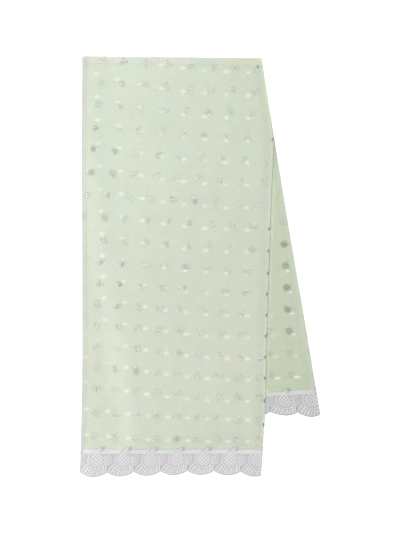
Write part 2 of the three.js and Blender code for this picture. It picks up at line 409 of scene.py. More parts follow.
def press_front(x: float, y: float, v: float) -> Point:
    """Return the point v over the front flap's inner face, with no creases.

    Args:
        x: Plan position.
        y: Plan position.
        v: Height over the flap's inner face.

    Returns:
        The point in space.
    """
    down = PLAN.top_y - y
    left, right = PLAN.edges(clamp(down, 0.0, PLAN.fall))
    across = x - PLAN.left_x
    kept = kept_thickness(min(across - left, right - across), down)
    lift = PLAN.lift(x, y)
    sunk = fade(right - across, *PRESS.sink_inset) * smoothstep(down, *PRESS.thin_down)
    spread = fade(across - left, *PRESS.spread_inset) * smoothstep(down, *PRESS.left_down)
    height = lift - PRESS.sink * sunk * lift / PLAN.front_lift + v * kept
    return x - PRESS.left_spread * spread, y, height


def press_rear(x: float, y: float, height: float) -> Point:
    """Return the point at a height in the rear flap, with no creases.

    Args:
        x: Plan position.
        y: Plan position.
        height: Height over the surface that it all lies on.

    Returns:
        The point in space.
    """
    left, right = PLAN.rear_edges(y)
    down = PLAN.top_y - y
    kept = kept_thickness(min(x - left, right - x), down - PRESS.rear_from)
    spread = fade(right - x, *PRESS.spread_inset) * smoothstep(down, *PRESS.right_down)
    return x + PRESS.right_spread * spread, y, height * kept


def place_front(x: float, y: float, v: float) -> Point:
    """Return the point v over the front flap's inner face."""
    return press_front(x, y, v + front_relief(x, y) * clamp(v / PLAN.layers))


def place_rear(x: float, y: float, v: float) -> Point:
    """Return the point v under the rear flap's upper face; its underside is flat but for creases.

    Args:
        x: Plan position.
        y: Plan position.
        v: Distance under the flap's upper face.

    Returns:
        The point in space.
    """
    height = PLAN.rear_top - v
    upper = rear_relief(x, y) * clamp(height / PLAN.rear_top)
    lower = under_relief(x, y) * clamp(v / PLAN.layers - 0.2)
    return press_rear(x, y, height + upper + lower)


@dataclass(frozen=True)
class Station:
    """A row across the cloth: its two ends in plan, and how its layers are placed."""

    left: Pair
    right: Pair
    place: Place

    @property
    def width(self) -> float:
        """Return the row's width."""
        return self.right[0] - self.left[0]

    def point(self, inset: float, v: float) -> Point:
        """Return the point at an inset from the left end, on layer height v."""
        x, y = between(self.left, self.right, inset / self.width)
        return self.place(x, y, v)


def front_stations(steps: int, fine: int = 16) -> list[Station]:
    """Return rows up the front flap, from its lace seam to the turn, closer near the turn.

    Args:
        steps: How many rows lead up to near the turn.
        fine: How many closer ones follow.

    Returns:
        The rows in order.
    """
    start, near = PLAN.seam - PLAN.seam_gap, 0.032
    end = PLAN.turn_outer + PLAN.top_slope
    downs = [lerp(start, near, i / steps) for i in range(steps)]
    downs += [lerp(near, end, i / fine) for i in range(fine + 1)]
    return [Station(*PLAN.front_row(down), place_front) for down in downs]


def place_turn(angle: float, x: float, y: float, v: float) -> Point:
    """Return the point v over the inner face, an angle round the turn from the front flap.

    Args:
        angle: The angle in radians.
        x: Plan position.
        y: Plan position.
        v: Height over the inner face.

    Returns:
        The point in space.
    """
    kept = (1 + math.cos(angle)) / 2
    r = PLAN.turn_inner + v + front_relief(x, y) * clamp(v / PLAN.layers) * kept
    return x, y + PLAN.nose * r * math.sin(angle), PLAN.turn_outer + r * math.cos(angle)


def turn_stations(steps: int) -> list[Station]:
    """Return rows round the turn at the top, without its first row."""
    ends = PLAN.front_row(PLAN.turn_outer + PLAN.top_slope)
    return [Station(*ends, partial(place_turn, math.pi * i / steps)) for i in range(1, steps + 1)]


def rear_stations(steps: int) -> list[Station]:
    """Return rows down the rear flap, from just past the turn to its lace seam."""
    start, end = 0.030, PLAN.rear_seam - PLAN.seam_gap
    return [Station(*PLAN.rear_row(lerp(start, end, i / steps)), place_rear) for i in range(steps + 1)]


@dataclass
class MeshDraft:
    """The points, faces and paint of a piece while it is built."""

    points: list[Point] = field(default_factory=list)
    faces: list[tuple[int, ...]] = field(default_factory=list)
    paints: list[Paint] = field(default_factory=list)

    def row(self, points: Sequence[Point], paint: Paint | Sequence[Paint] = PLAIN) -> list[int]:
        """Add a row of points.

        Args:
            points: The points.
            paint: One paint for all of them, or one for each.

        Returns:
            The points' numbers.
        """
        first = len(self.points)
        self.points.extend(points)
        single = isinstance(paint[0], float)
        self.paints.extend([paint] * len(points) if single else paint)
        return list(range(first, first + len(points)))

    def bridge(self, first: Sequence[int], second: Sequence[int], closed: bool = False) -> None:
        """Join two equal rows of points with faces, round to the start again if closed.

        Args:
            first: The numbers of one row's points.
            second: The numbers of the other row's points.
            closed: Whether both rows run round to their start.
        """
        n = len(first)
        for i in range(n if closed else n - 1):
            j = (i + 1) % n
            self.faces.append((first[i], first[j], second[j], second[i]))

    def skin(
        self, rings: Sequence[Sequence[Point]], paints: Sequence[Paint | Sequence[Paint]]
    ) -> list[list[int]]:
        """Add equal closed rings, with faces from each to the next.

        Args:
            rings: The rings of points.
            paints: One paint for each ring, or one for each of its points.

        Returns:
            The numbers of each ring's points.
        """
        rows = [self.row(ring, paint) for ring, paint in zip(rings, paints)]
        for a, b in zip(rows, rows[1:]):
            self.bridge(a, b, closed=True)
        return rows

    def cap(self, rows: Sequence[Sequence[int]]) -> None:
        """Close the first and the last of some rings with a face each."""
        self.faces += [tuple(rows[0]), tuple(reversed(rows[-1]))]

    def sweep(self, rings: Sequence[Sequence[Point]], paints: Sequence[Sequence[Paint]]) -> None:
        """Add a closed solid through equal closed rings, with an end face strip on each end.

        Args:
            rings: Rings whose first half runs out and whose second half runs back.
            paints: Paints of the rings' points.
        """
        rows = self.skin(rings, paints)
        for end in (rows[0], rows[-1]):
            half = len(end) // 2
            self.bridge(end[:half], list(reversed(end[half:])))

    def tube(self, rings: Sequence[Sequence[Point]], paint: Paint, closed: bool) -> None:
        """Add a cord through rings of points, joined up if closed and capped if not.

        Args:
            rings: The rings.
            paint: The cord's paint.
            closed: Whether its two ends meet.
        """
        rows = self.skin(rings, [paint] * len(rings))
        if closed:
            self.bridge(rows[-1], rows[0], closed=True)
        else:
            self.cap(rows)

    def dome(self, centre: Point, rings: Sequence[Sequence[Point]], paints: Sequence[Paint]) -> None:
        """Add a low dome: a centre point and rings that widen from it, closed beneath.

        Args:
            centre: The highest point.
            rings: Closed rings from the inside out; the last one is also the base.
            paints: The centre's paint, then one for each ring.
        """
        top = self.row([centre], paints[0])[0]
        rows = self.skin(rings, paints[1:])
        n = len(rows[0])
        self.faces.extend((top, rows[0][i], rows[0][(i + 1) % n]) for i in range(n))
        self.faces.append(tuple(reversed(rows[-1])))

    def shape(self, name: str, finish: Finish) -> bpy.types.Object:
        """Make the Blender object, smooth but for its sharp bends, in its finish.

        Args:
            name: The object's name.
            finish: The finish that its surface gets.

        Returns:
            The new object.
        """
        mesh = bpy.data.meshes.new(name)
        mesh.from_pydata(self.points, [], self.faces)
        layer = mesh.color_attributes.new("paint", "FLOAT_COLOR", "POINT")
        layer.data.foreach_set("color", [c for paint in self.paints for c in (*paint, 1.0)])
        mesh.polygons.foreach_set("use_smooth", [True] * len(mesh.polygons))
        mesh.update()
        mesh.set_sharp_from_angle(angle=SHARP_BEND)
        mesh.materials.append(finish.material())
        obj = bpy.data.objects.new(name, mesh)
        bpy.context.collection.objects.link(obj)
        return obj

    def piece(self, name: str, finish: Finish, slot: str) -> bpy.types.Object:
        """Make one of the saree's pieces.

        Args:
            name: The piece's name.
            finish: The finish that its surface gets.
            slot: Not used.

        Returns:
            The new object, riding on the part's one body.
        """
        obj = self.shape(name, finish)
        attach(obj, "root")
        LOG.info("%s: %d faces", name, len(self.faces))
        return obj


@dataclass
class Shader:
    """A node material while it is built, on one Principled shader."""

    name: str

    def __post_init__(self) -> None:
        """Make the material and keep its shader at hand."""
        self.material = bpy.data.materials.new(self.name)
        self.material.use_nodes = True
        self.tree = self.material.node_tree
        self.surface = self.tree.nodes["Principled BSDF"]

    def node(
        self, kind: str, inputs: dict[str | int, object] | None = None, **settings: object
    ) -> bpy.types.Node:
        """Add a node.

        Args:
            kind: Its Blender type name.
            inputs: Values or sockets for its inputs, by name or number.
            **settings: Its own settings.

        Returns:
            The new node.
        """
        made = self.tree.nodes.new(kind)
        for key, value in settings.items():
            setattr(made, key, value)
        for key, value in (inputs or {}).items():
            self.feed(made, key, value)
        return made

    def feed(self, node: bpy.types.Node, key: str | int, value: object) -> None:
        """Give a node's input a value or link a socket to it.

        Args:
            node: The node.
            key: The input's name or number.
            value: A value, or a socket to link.
        """
        socket = node.inputs[key]
        if isinstance(value, bpy.types.NodeSocket):
            self.tree.links.new(value, socket)
        else:
            socket.default_value = value

    def surface_is(self, **inputs: object) -> None:
        """Set or link the shader's inputs, with underscores for the spaces in their names."""
        for key, value in inputs.items():
            self.feed(self.surface, key.replace("_", " "), value)

    def where(self) -> bpy.types.NodeSocket:
        """Return the place on the object, in metres."""
        return self.node("ShaderNodeTexCoord").outputs["Object"]

    def noise(
        self, scale: float, detail: float = 2.0, stretch: Point = (1.0, 1.0, 1.0)
    ) -> bpy.types.NodeSocket:
        """Return a noise value, its scale in ripples a metre.

        Args:
            scale: Ripples a metre.
            detail: How many finer noises are laid over it.
            stretch: Factors on the scale along each axis.

        Returns:
            The socket that carries it.
        """
        scaled = self.node("ShaderNodeMapping", {"Vector": self.where(), "Scale": stretch})
        inputs = {"Vector": scaled.outputs[0], "Scale": scale, "Detail": detail}
        return self.node("ShaderNodeTexNoise", inputs).outputs["Fac"]

    def bands(self, pitch: float, direction: str, wobble: float = 0.0) -> bpy.types.NodeSocket:
        """Return evenly spaced bands, such as threads, by their pitch in metres.

        Args:
            pitch: Distance from band to band in metres.
            direction: The direction that they follow each other in.
            wobble: How much they waver.

        Returns:
            The socket that carries it.
        """
        scale = math.pi / 10 / pitch
        inputs = {"Vector": self.where(), "Scale": scale, "Distortion": wobble, "Detail": 1.0}
        return self.node("ShaderNodeTexWave", inputs, bands_direction=direction).outputs["Fac"]

    def combine(self, operation: str, a: object, b: object) -> bpy.types.NodeSocket:
        """Return the result of a Math node."""
        return self.node("ShaderNodeMath", {0: a, 1: b}, operation=operation).outputs[0]

    def ramp(self, value: object, low: float, high: float) -> bpy.types.NodeSocket:
        """Return a value of 0 to 1 moved to run from low to high."""
        return self.node("ShaderNodeMapRange", {"Value": value, "To Min": low, "To Max": high}).outputs[0]

    def painted(self, tint: Paint, shade: object) -> bpy.types.NodeSocket:
        """Return the mesh's own paint times a tint and a shade value.

        Args:
            tint: The tint.
            shade: A number or a socket.

        Returns:
            The socket that carries it.
        """
        paint = self.node("ShaderNodeAttribute", attribute_name="paint").outputs["Color"]
        inputs = {"Factor": 1.0, 6: paint, 7: (*tint, 1.0)}
        both = self.node("ShaderNodeMix", inputs, data_type="RGBA", blend_type="MULTIPLY").outputs[2]
        return self.node("ShaderNodeVectorMath", {0: both, "Scale": shade}, operation="SCALE").outputs[0]

    def bump(self, height: object, distance: float, strength: float = 1.0) -> bpy.types.NodeSocket:
        """Return a bumped normal, its full height in metres."""
        inputs = {"Height": height, "Distance": distance, "Strength": strength}
        return self.node("ShaderNodeBump", inputs).outputs["Normal"]


@dataclass(frozen=True)
class Finish:
    """A surface finish; each kind makes its material once."""

    name: str
    tint: Paint

    def material(self) -> bpy.types.Material:
        """Return the finish's material, made on first use."""
        return bpy.data.materials.get(self.name) or self.build(Shader(self.name))

    def build(self, shader: Shader) -> bpy.types.Material:
        """Fill in the shader and return its material."""
        raise NotImplementedError


@dataclass(frozen=True)
class Organza(Finish):
    """Sheer plain-woven cloth with fine crisp threads and a soft sheen."""

    opacity: float = 1.0
    thread: float = 0.00045

    def build(self, shader: Shader) -> bpy.types.Material:
        """Fill in the shader: woven threads, slow mottling and a crinkled bump.

        Args:
            shader: The new material's shader.

        Returns:
            The finished material.
        """
        warp = shader.bands(self.thread, "X", 0.6)
        weft = shader.bands(self.thread * 1.1, "Y", 0.6)
        weave = shader.combine("MAXIMUM", warp, weft)
        slub = shader.noise(900.0, 2.0, (0.05, 1.0, 1.0))
        mottle = shader.noise(22.0, 3.0)
        shade = shader.combine(
            "MULTIPLY",
            shader.combine("MULTIPLY", shader.ramp(weave, 0.96, 1.02), shader.ramp(slub, 0.97, 1.03)),
            shader.ramp(mottle, 0.965, 1.035),
        )
        crinkle = shader.noise(260.0, 3.0)
        height = shader.combine("ADD", shader.combine("MULTIPLY", crinkle, 3.0), weave)
        shader.surface_is(
            Base_Color=shader.painted(self.tint, shade),
            Roughness=0.62,
            Sheen_Weight=0.18,
            Sheen_Roughness=0.4,
            Specular_IOR_Level=0.35,
            Normal=shader.bump(height, 0.00005, 0.7),
        )
        if self.opacity < 1:
            shader.surface_is(Alpha=shader.ramp(weave, self.opacity * 0.93, self.opacity * 1.04))
        return shader.material


@dataclass(frozen=True)
class Zari(Finish):
    """Thin silver thread, wound round a core and dulled."""

    metal: float = 0.35
    twist: float = 0.0005

    def build(self, shader: Shader) -> bpy.types.Material:
        """Fill in the shader: a twisted thread with dull and bright grains.

        Args:
            shader: The new material's shader.

        Returns:
            The finished material.
        """
        strands = shader.bands(self.twist, "DIAGONAL", 1.5)
        grain = shader.noise(1500.0, 2.0)
        shade = shader.combine("MULTIPLY", shader.ramp(strands, 0.86, 1.08), shader.ramp(grain, 0.8, 1.2))
        shader.surface_is(
            Base_Color=shader.painted(self.tint, shade),
            Metallic=self.metal,
            Roughness=shader.ramp(grain, 0.32, 0.6),
            Normal=shader.bump(shader.combine("ADD", strands, grain), 0.00008, 0.8),
        )
        return shader.material


@dataclass(frozen=True)
class SoftThread(Finish):
    """Matt thread in close stitches."""

    stitch: float = 0.0006

    def build(self, shader: Shader) -> bpy.types.Material:
        """Fill in the shader: slanting stitches and a little fuzz.

        Args:
            shader: The new material's shader.

        Returns:
            The finished material.
        """
        stitches = shader.bands(self.stitch, "DIAGONAL", 2.0)
        fuzz = shader.noise(1100.0, 3.0)
        shade = shader.combine("MULTIPLY", shader.ramp(stitches, 0.93, 1.03), shader.ramp(fuzz, 0.93, 1.07))
        shader.surface_is(
            Base_Color=shader.painted(self.tint, shade),
            Roughness=0.75,
            Sheen_Weight=0.15,
            Normal=shader.bump(shader.combine("ADD", stitches, fuzz), 0.0001, 0.8),
        )
        return shader.material


@dataclass(frozen=True)
class PaperGround(Finish):
    """A plain matt ground that glows a little, like a lit white table."""

    glow: float = 0.45

    def build(self, shader: Shader) -> bpy.types.Material:
        """Fill in the shader: an even matt white.

        Args:
            shader: The new material's shader.

        Returns:
            The finished material.
        """
        shade = shader.ramp(shader.noise(60.0, 2.0), 0.99, 1.01)
        shader.surface_is(
            Base_Color=shader.painted(self.tint, shade),
            Roughness=0.9,
            Emission_Color=(1.0, 1.0, 1.0, 1.0),
            Emission_Strength=self.glow,
            Specular_IOR_Level=0.1,
        )
        return shader.material


SHEER = Organza("sheer_mint_organza", (0.690, 0.743, 0.640), opacity=0.30)
UNDER = Organza("under_mint_organza", (0.665, 0.721, 0.609))
FOLDS = Organza("folded_mint_organza", (0.660, 0.712, 0.609))
SILVER = Zari("woven_silver_thread", (1.0, 1.0, 1.0), metal=0.2)
WHITE_DOT = SoftThread("white_woven_thread", (1.0, 1.0, 1.0))
LACE_NET = SoftThread("lace_ground_thread", (0.53, 0.52, 0.53), stitch=0.0012)
LACE_CORD = Zari("lace_silver_cord", (0.70, 0.69, 0.70), metal=0.08, twist=0.0009)
GROUND = PaperGround("plain_pale_ground", (0.93, 0.93, 0.93))


class Face(Enum):
    """The three stretches of cloth that show."""

    FRONT = "front"
    REAR = "rear"
    UNDER = "under"


@dataclass(frozen=True)
class SheetSizes:
    """Sizes that the showing sheets share."""

    ease: float = 0.00025
    thickness: float = 0.0002
    roll: float = 0.0012
    hem: float = 0.0011
    columns: int = 58


ONE_SHEET = SheetSizes()
# Painted shade: a greyer, slightly lilac paint where the folded edges round away under the sheer cloth.
FOLD_SHADE_GREY: Paint = (0.944, 0.914, 0.970)


@dataclass(frozen=True)
class Surface:
    """One stretch of showing cloth, as a place to set ornaments on."""

    side: Face
    roll: float = SheetSizes.roll
    side_reach: float = 0.0008
    fold_lift: float = 0.00024
    lift_from: Pair = (0.0012, 0.0030)
    lift_to: Pair = (0.0070, 0.0110)

    def edges(self, y: float) -> Pair:
        """Return the two edges at a plan height.

        Args:
            y: Plan position.

        Returns:
            The plan position of the left and of the right edge.
        """
        if self.side is Face.FRONT:
            left, right = PLAN.edges(clamp(PLAN.top_y - y, 0.0, PLAN.fall))
            return PLAN.left_x + left, PLAN.left_x + right
        return PLAN.rear_edges(y)

    def holds(self, x: float, y: float) -> bool:
        """Tell whether a plan place lies on the cloth or on its rolled sides.

        Args:
            x: Plan position.
            y: Plan position.

        Returns:
            Whether it does.
        """
        left, right = self.edges(y)
        reach = self.roll * (math.pi / 2 - 1) + self.side_reach
        return left - reach < x < right + reach

    def face_point(self, x: float, y: float, rise: float) -> Point:
        """Return a point that stands clear of the flat of the cloth by rise.

        Args:
            x: Plan position.
            y: Plan position.
            rise: How far it stands clear of the cloth.

        Returns:
            The point in space.
        """
        if self.side is Face.REAR:
            return place_rear(x, y, -PLAN.gap - PLAN.wall - rise)
        if self.side is Face.UNDER:
            return place_rear(x, y, PLAN.face - SheetSizes.ease + rise)
        turn = PLAN.turn_outer + PLAN.top_slope
        left, right = PLAN.front_row(turn)
        share = clamp((x - left[0]) / (right[0] - left[0]))
        axis = lerp(left[1], right[1], share)
        if y <= axis:
            return place_front(x, y, PLAN.face + rise)
        angle = (y - axis) / PLAN.turn_outer
        r = PLAN.turn_outer + rise
        return x, axis + PLAN.nose * r * math.sin(angle), PLAN.turn_outer + r * math.cos(angle)

    def point(self, x: float, y: float, rise: float) -> Point:
        """Return the point at a plan place, wrapped round the fold where it passes an edge.

        Args:
            x: Plan position, measured along the cloth.
            y: Plan position.
            rise: How far it stands clear of the cloth.

        Returns:
            The point in space.
        """
        left, right = self.edges(y)
        for edge, way in ((left, -1.0), (right, 1.0)):
            past = (x - edge) * way + self.roll
            if past > 0:
                angle = min(past / self.roll, math.pi / 2)
                rest = clamp(past - self.roll * math.pi / 2, 0.0, SheetSizes.hem)
                r = self.roll + rise
                inset = self.roll - r * math.sin(angle)
                drop = self.roll - r * math.cos(angle) + rest
                return self.face_point(edge - way * inset, y, -drop)
        inset = min(x - left, right - x)
        if self.side is Face.FRONT:
            rise += self.fold_lift * smoothstep(inset, *self.lift_from) * fade(inset, *self.lift_to)
        return self.face_point(x, y, rise)


@dataclass
class Sheet:
    """A thin sheet of cloth along its stations, painted by its tint.

    Its outer face lies at layer height `base`, on the side that `outwards` gives.
    """

    name: str
    stations: list[Station]
    base: float
    outwards: float
    tint: Tint


@dataclass
class RolledSheet(Sheet):
    """A showing sheet of sheer cloth whose sides roll over the folds beneath."""

    sizes: SheetSizes = ONE_SHEET

    def roll_places(self) -> list[Pair]:
        """Return the rolled side's places: an angle from the flat, and a drop past the roll."""
        arc = [(math.pi / 2, self.sizes.hem), (math.pi / 2, self.sizes.hem / 2)]
        return arc + [(math.pi / 2 * k / 4, 0.0) for k in range(4, -1, -1)]

    def side(self, rise: float) -> list[Pair]:
        """Return the (inset, drop) of the rolled side's points on a face that rise gives.

        Args:
            rise: How far the face lies outside the sheet's outer face.

        Returns:
            The points, from the hem to the flat.
        """
        roll = self.sizes.roll
        r = roll + rise
        return [
            (roll - r * math.sin(angle), roll - r * math.cos(angle) + rest)
            for angle, rest in self.roll_places()
        ]

    def profile(self, width: float, rise: float) -> list[Pair]:
        """Return the (inset, drop) points right across one face of the sheet.

        Args:
            width: The row's width.
            rise: How far the face lies outside the sheet's outer face.

        Returns:
            The points, from left to right.
        """
        side = self.side(rise)
        flat_from = self.sizes.roll
        n = self.sizes.columns
        flat = [(lerp(flat_from, width - flat_from, k / n), -rise) for k in range(1, n)]
        return side + flat + [(width - inset, drop) for inset, drop in reversed(side)]

    def build(self) -> bpy.types.Object:
        """Return the sheet as a closed thin piece.

        Returns:
            The new piece.
        """
        draft = MeshDraft()
        rings, paints = [], []
        for station in self.stations:
            outer = self.profile(station.width, 0.0)
            inner = self.profile(station.width, -self.sizes.thickness)
            ring = outer + inner[::-1]
            rings.append([station.point(i, self.base - self.outwards * drop) for i, drop in ring])
            spots = zip(rings[-1], ring)
            paints.append([self.tint(*p[:2], inset, station.width) for p, (inset, _) in spots])
        draft.sweep(rings, paints)
        return draft.piece(self.name, SHEER, "cloth")


@dataclass
class FlatSheet(Sheet):
    """A second layer of cloth, just beneath a showing sheet and set back from its folds.

    Its left edge has a narrow hem, which shows through as a thin darker line.
    """

    left_inset: float = 0.0058
    right_inset: float = 0.0012
    hem: float = 0.0013
    hem_step: float = 0.0004
    hem_tone: float = 0.88
    thickness: float = 0.00015
    columns: int = 56

    def build(self) -> bpy.types.Object:
        """Return the layer as a closed thin piece.

        Returns:
            The new piece.
        """
        draft = MeshDraft()
        rings, paints = [], []
        for station in self.stations:
            start = self.left_inset + self.hem + self.hem_step
            end = station.width - self.right_inset
            steps = [lerp(start, end, k / self.columns) for k in range(self.columns + 1)]
            insets = [self.left_inset, self.left_inset + self.hem, *steps]
            outer = [station.point(i, self.base) for i in insets]
            inner = [station.point(i, self.base - self.outwards * self.thickness) for i in insets]
            rings.append(outer + inner[::-1])
            tones = [self.tint(*p[:2], i, station.width) for p, i in zip(outer, insets)]
            tones[:2] = [tuple(c * self.hem_tone for c in tone) for tone in tones[:2]]
            paints.append(tones + tones[::-1])
        draft.sweep(rings, paints)
        return draft.piece(self.name, UNDER, "cloth")


@dataclass
class PleatStack:
    """The hidden layers: a stack of folds whose edges show as thin rounded leaves."""

    stations: list[Station]
    folds: int = 10
    near: float = 0.00025
    reach: float = 0.0005
    groove: float = 0.0008
    flat_from: float = 0.008
    fold_shade_width: float = 0.0085
    columns: int = 58
    seed: int = 11

    def waver(self, dice: random.Random) -> Callable[[float], float]:
        """Return how one fold's edge wanders along the cloth, as a share from 0 to 1.

        Args:
            dice: The random numbers that it draws from.

        Returns:
            The share, as a function of the distance along the cloth.
        """
        terms = [(dice.uniform(5, 26), dice.uniform(0, math.tau)) for _ in range(3)]
        level = dice.uniform(0.15, 0.85)

        def at(along: float) -> float:
            """Return the share at a distance along the cloth."""
            swing = sum(math.sin(along * rate + turn) for rate, turn in terms) / 3
            return clamp(level + 0.35 * swing)

        return at

    def side(self, wavers: Sequence[Callable[[float], float]], along: float) -> list[Pair]:
        """Return the (inset, v) points of one side, from the inner face out.

        Args:
            wavers: How each fold's edge wanders.
            along: Distance along the cloth.

        Returns:
            The points.
        """
        height = PLAN.layers / self.folds
        points = []
        for k, waver in enumerate(wavers):
            inset = self.near + self.reach * waver(along)
            v = k * height
            points.append((inset + self.groove, v))
            for share, back in ((0.15, 0.35), (0.35, 0.06), (0.65, 0.06), (0.85, 0.35)):
                points.append((inset + back * self.groove, v + share * height))
        points.append((points[0][0], PLAN.layers))
        return points

    def build(self) -> bpy.types.Object:
        """Return the stack as one closed piece, with painted shade, greyer, along its folds.

        Returns:
            The new piece.
        """
        dice = random.Random(self.seed)
        sides = [[self.waver(dice) for _ in range(self.folds)] for _ in range(2)]
        rings, paints = [], []
        along = 0.0
        before = None
        for station in self.stations:
            middle = station.point(station.width / 2, 0.0)
            along += 0.0 if before is None else math.dist(before, middle)
            before = middle
            left = self.side(sides[0], along)
            right = [(station.width - inset, v) for inset, v in reversed(self.side(sides[1], along))]
            span = (self.flat_from, station.width - self.flat_from)
            across = [lerp(*span, k / self.columns) for k in range(self.columns + 1)]
            face = [(inset, PLAN.layers) for inset in across]
            back = [(inset, 0.0) for inset in reversed(across)]
            ring = [*left, *face, *right, *back]
            near = [min(inset, station.width - inset) < self.fold_shade_width for inset, _ in ring]
            rings.append([station.point(inset, v) for inset, v in ring])
            # Painted shade along both folds.
            paints.append([FOLD_SHADE_GREY if edge else PLAIN for edge in near])
        draft = MeshDraft()
        draft.cap(draft.skin(rings, paints))
        return draft.piece("pleat_stack", FOLDS, "hidden cloth")


@dataclass(frozen=True)
class Grid:
    """Where ornaments stand in rows and columns that drift as the cloth leans.

    Rows close up or spread from a row on, for a number of rows, by a step for each.
    """

    rows: int
    first: Pair
    pitch: Pair
    closing: RowSteps = ()
    spreading: RowSteps = ()

    def row_y(self, row: int) -> float:
        """Return the plan height of a row's first ornament.

        Args:
            row: The row's number, counted from the top.

        Returns:
            The plan position.
        """
        closer = sum(clamp(row - start, 0, count) * step for start, count, step in self.closing)
        wider = sum(clamp(row - start, 0, count) * step for start, count, step in self.spreading)
        return self.first[1] - self.pitch[1] * row + closer - wider

    def places(self) -> Iterator[tuple[int, int, float, float]]:
        """Yield each ornament's row, column and plan place."""
        raise NotImplementedError


@dataclass(frozen=True)
class RoundsGrid(Grid):
    """The front flap's silver rounds: rows fall to the right, columns drift to the left."""

    rows: int = 18
    first: Pair = (-0.1430, 0.3035)
    pitch: Pair = (0.0325, 0.0328)
    closing: RowSteps = ((9, 6, 0.0020),)
    spreading: RowSteps = ((14, 3, 0.0026),)
    narrowing: float = 0.0024
    slope: float = 0.060
    lean_spans: tuple[Pair, ...] = ((0.164, 0.100), (0.067, 0.176), (0.127, 0.078), (0.250, 0.024))

    def lean(self, fall: float) -> float:
        """Return how far left the columns have drifted, a distance down from the first row.

        Args:
            fall: Distance down from the first row.

        Returns:
            The drift in metres.
        """
        drift = 0.0
        for span, rate in self.lean_spans:
            drift += rate * clamp(fall, 0.0, span)
            fall -= span
        return drift

    def places(self) -> Iterator[tuple[int, int, float, float]]:
        """Yield each round's row, column and plan place.

        Yields:
            The row, the column and the two plan positions.
        """
        dice = random.Random(3)
        for row in range(self.rows):
            y = self.row_y(row)
            fall = self.first[1] - y
            pitch = self.pitch[0] - self.narrowing * clamp(fall / 0.45)
            steeper = 0.012 * bell(fall, 0.425, 0.06) + 0.018 * bell(fall, 0.115, 0.03)
            flatter = 0.018 * smoothstep(fall, 0.455, 0.49) + 0.028 * smoothstep(fall, 0.525, 0.558)
            slope = self.slope + steeper - flatter
            shift = dice.uniform(-0.0008, 0.0008) - self.lean(fall)
            for column in range(-1, 13):
                across = pitch * column
                x = self.first[0] + shift + across + dice.uniform(-0.0006, 0.0006)
                yield row, column, x, y - slope * across + dice.uniform(-0.0008, 0.0008)


@dataclass(frozen=True)
class DotsGrid(Grid):
    """The second layer's white dots: rows bow down to the right, columns are nearly upright."""

    rows: int = 18
    first: Pair = (-0.1537, 0.3180)
    pitch: Pair = (0.03165, 0.0337)
    closing: RowSteps = ((9, 5, 0.0022), (6, 4, 0.0014))
    spreading: RowSteps = ((14, 3, 0.0024), (15, 2, 0.0015))
    bow: float = 0.0295
    span: float = 0.2250

    def places(self) -> Iterator[tuple[int, int, float, float]]:
        """Yield each dot's row, column and plan place.

        Yields:
            The row, the column and the two plan positions.
        """
        for row in range(self.rows):
            y = self.row_y(row)
            fall = self.first[1] - y
            bow = self.bow * (1 - 0.7 * smoothstep(fall, 0.46, 0.56))
            bow += 0.0028 * fade(fall, 0.08, 0.17)
            pitch = self.pitch[0] + 0.0004 * fade(fall, 0.06, 0.16)
            for column in range(-1, 9):
                lean = 0.034 * (1 - clamp(column / 8))
                x = self.first[0] + pitch * column + lean * fall
                share = clamp((x - self.first[0]) / self.span, -0.1, 1.0)
                yield row, column, x, y - bow * (1 - (1 - share) ** 2)


@dataclass(frozen=True)
class RearGrid(Grid):
    """The rear flap's ornaments: upright columns that lean a little with the flap."""

    rows: int = 15
    first: Pair = (0.1225, 0.0650)
    pitch: Pair = (0.0300, 0.0319)
    lean: float = 0.050
    slope: float = 0.05
    columns: tuple[int, int] = (-7, 2)

    def places(self) -> Iterator[tuple[int, int, float, float]]:
        """Yield each ornament's row, column and plan place.

        Yields:
            The row, the column and the two plan positions.
        """
        for row in range(self.rows):
            y = self.row_y(row)
            for column in range(*self.columns):
                x = self.first[0] + self.pitch[0] * column + self.lean * (self.first[1] - y)
                yield row, column, x, y + self.slope * self.pitch[0] * column


@dataclass(frozen=True)
class Cord:
    """A low cord: the shoulder of its section, and how far its free ends taper."""

    shoulder: Pair
    end_taper: float

    def rings(
        self, path: Sequence[Pair], half: float, height: float, place: Place, joined: bool = False
    ) -> list[list[Point]]:
        """Return the cord's sections along a path.

        Args:
            path: Places along its middle.
            half: Half its width.
            height: Its height.
            place: Puts a place at a rise over what it lies on.
            joined: Whether its ends meet.

        Returns:
            A ring of points for each place.
        """
        last, (wide, high) = len(path) - 1, self.shoulder
        section = ((-1.0, 0.0), (-wide, high), (0.0, 1.0), (wide, high), (1.0, 0.0))
        rings = []
        for i, (x, y) in enumerate(path):
            before = path[i - 1] if joined or i > 0 else path[i]
            after = path[(i + 1) % len(path)] if joined or i < last else path[i]
            dx, dy = after[0] - before[0], after[1] - before[1]
            length = math.hypot(dx, dy) or 1.0
            taper = 1.0 if joined or 0 < i < last else self.end_taper
            u, w = -dy / length * half * taper, dx / length * half * taper
            rings.append([place(x + u * side, y + w * side, height * up * taper) for side, up in section])
        return rings


SILVER_CORD = Cord((0.6, 0.8), 0.45)
LACE_WORK = Cord((0.62, 0.78), 0.5)


class Weave(Enum):
    """The ways in which a round is woven, with the number of arcs in its ring."""

    FAINT = 4
    RING = 7
    UPRIGHT = 2
    LEVEL = 3
    CLOSE = 6


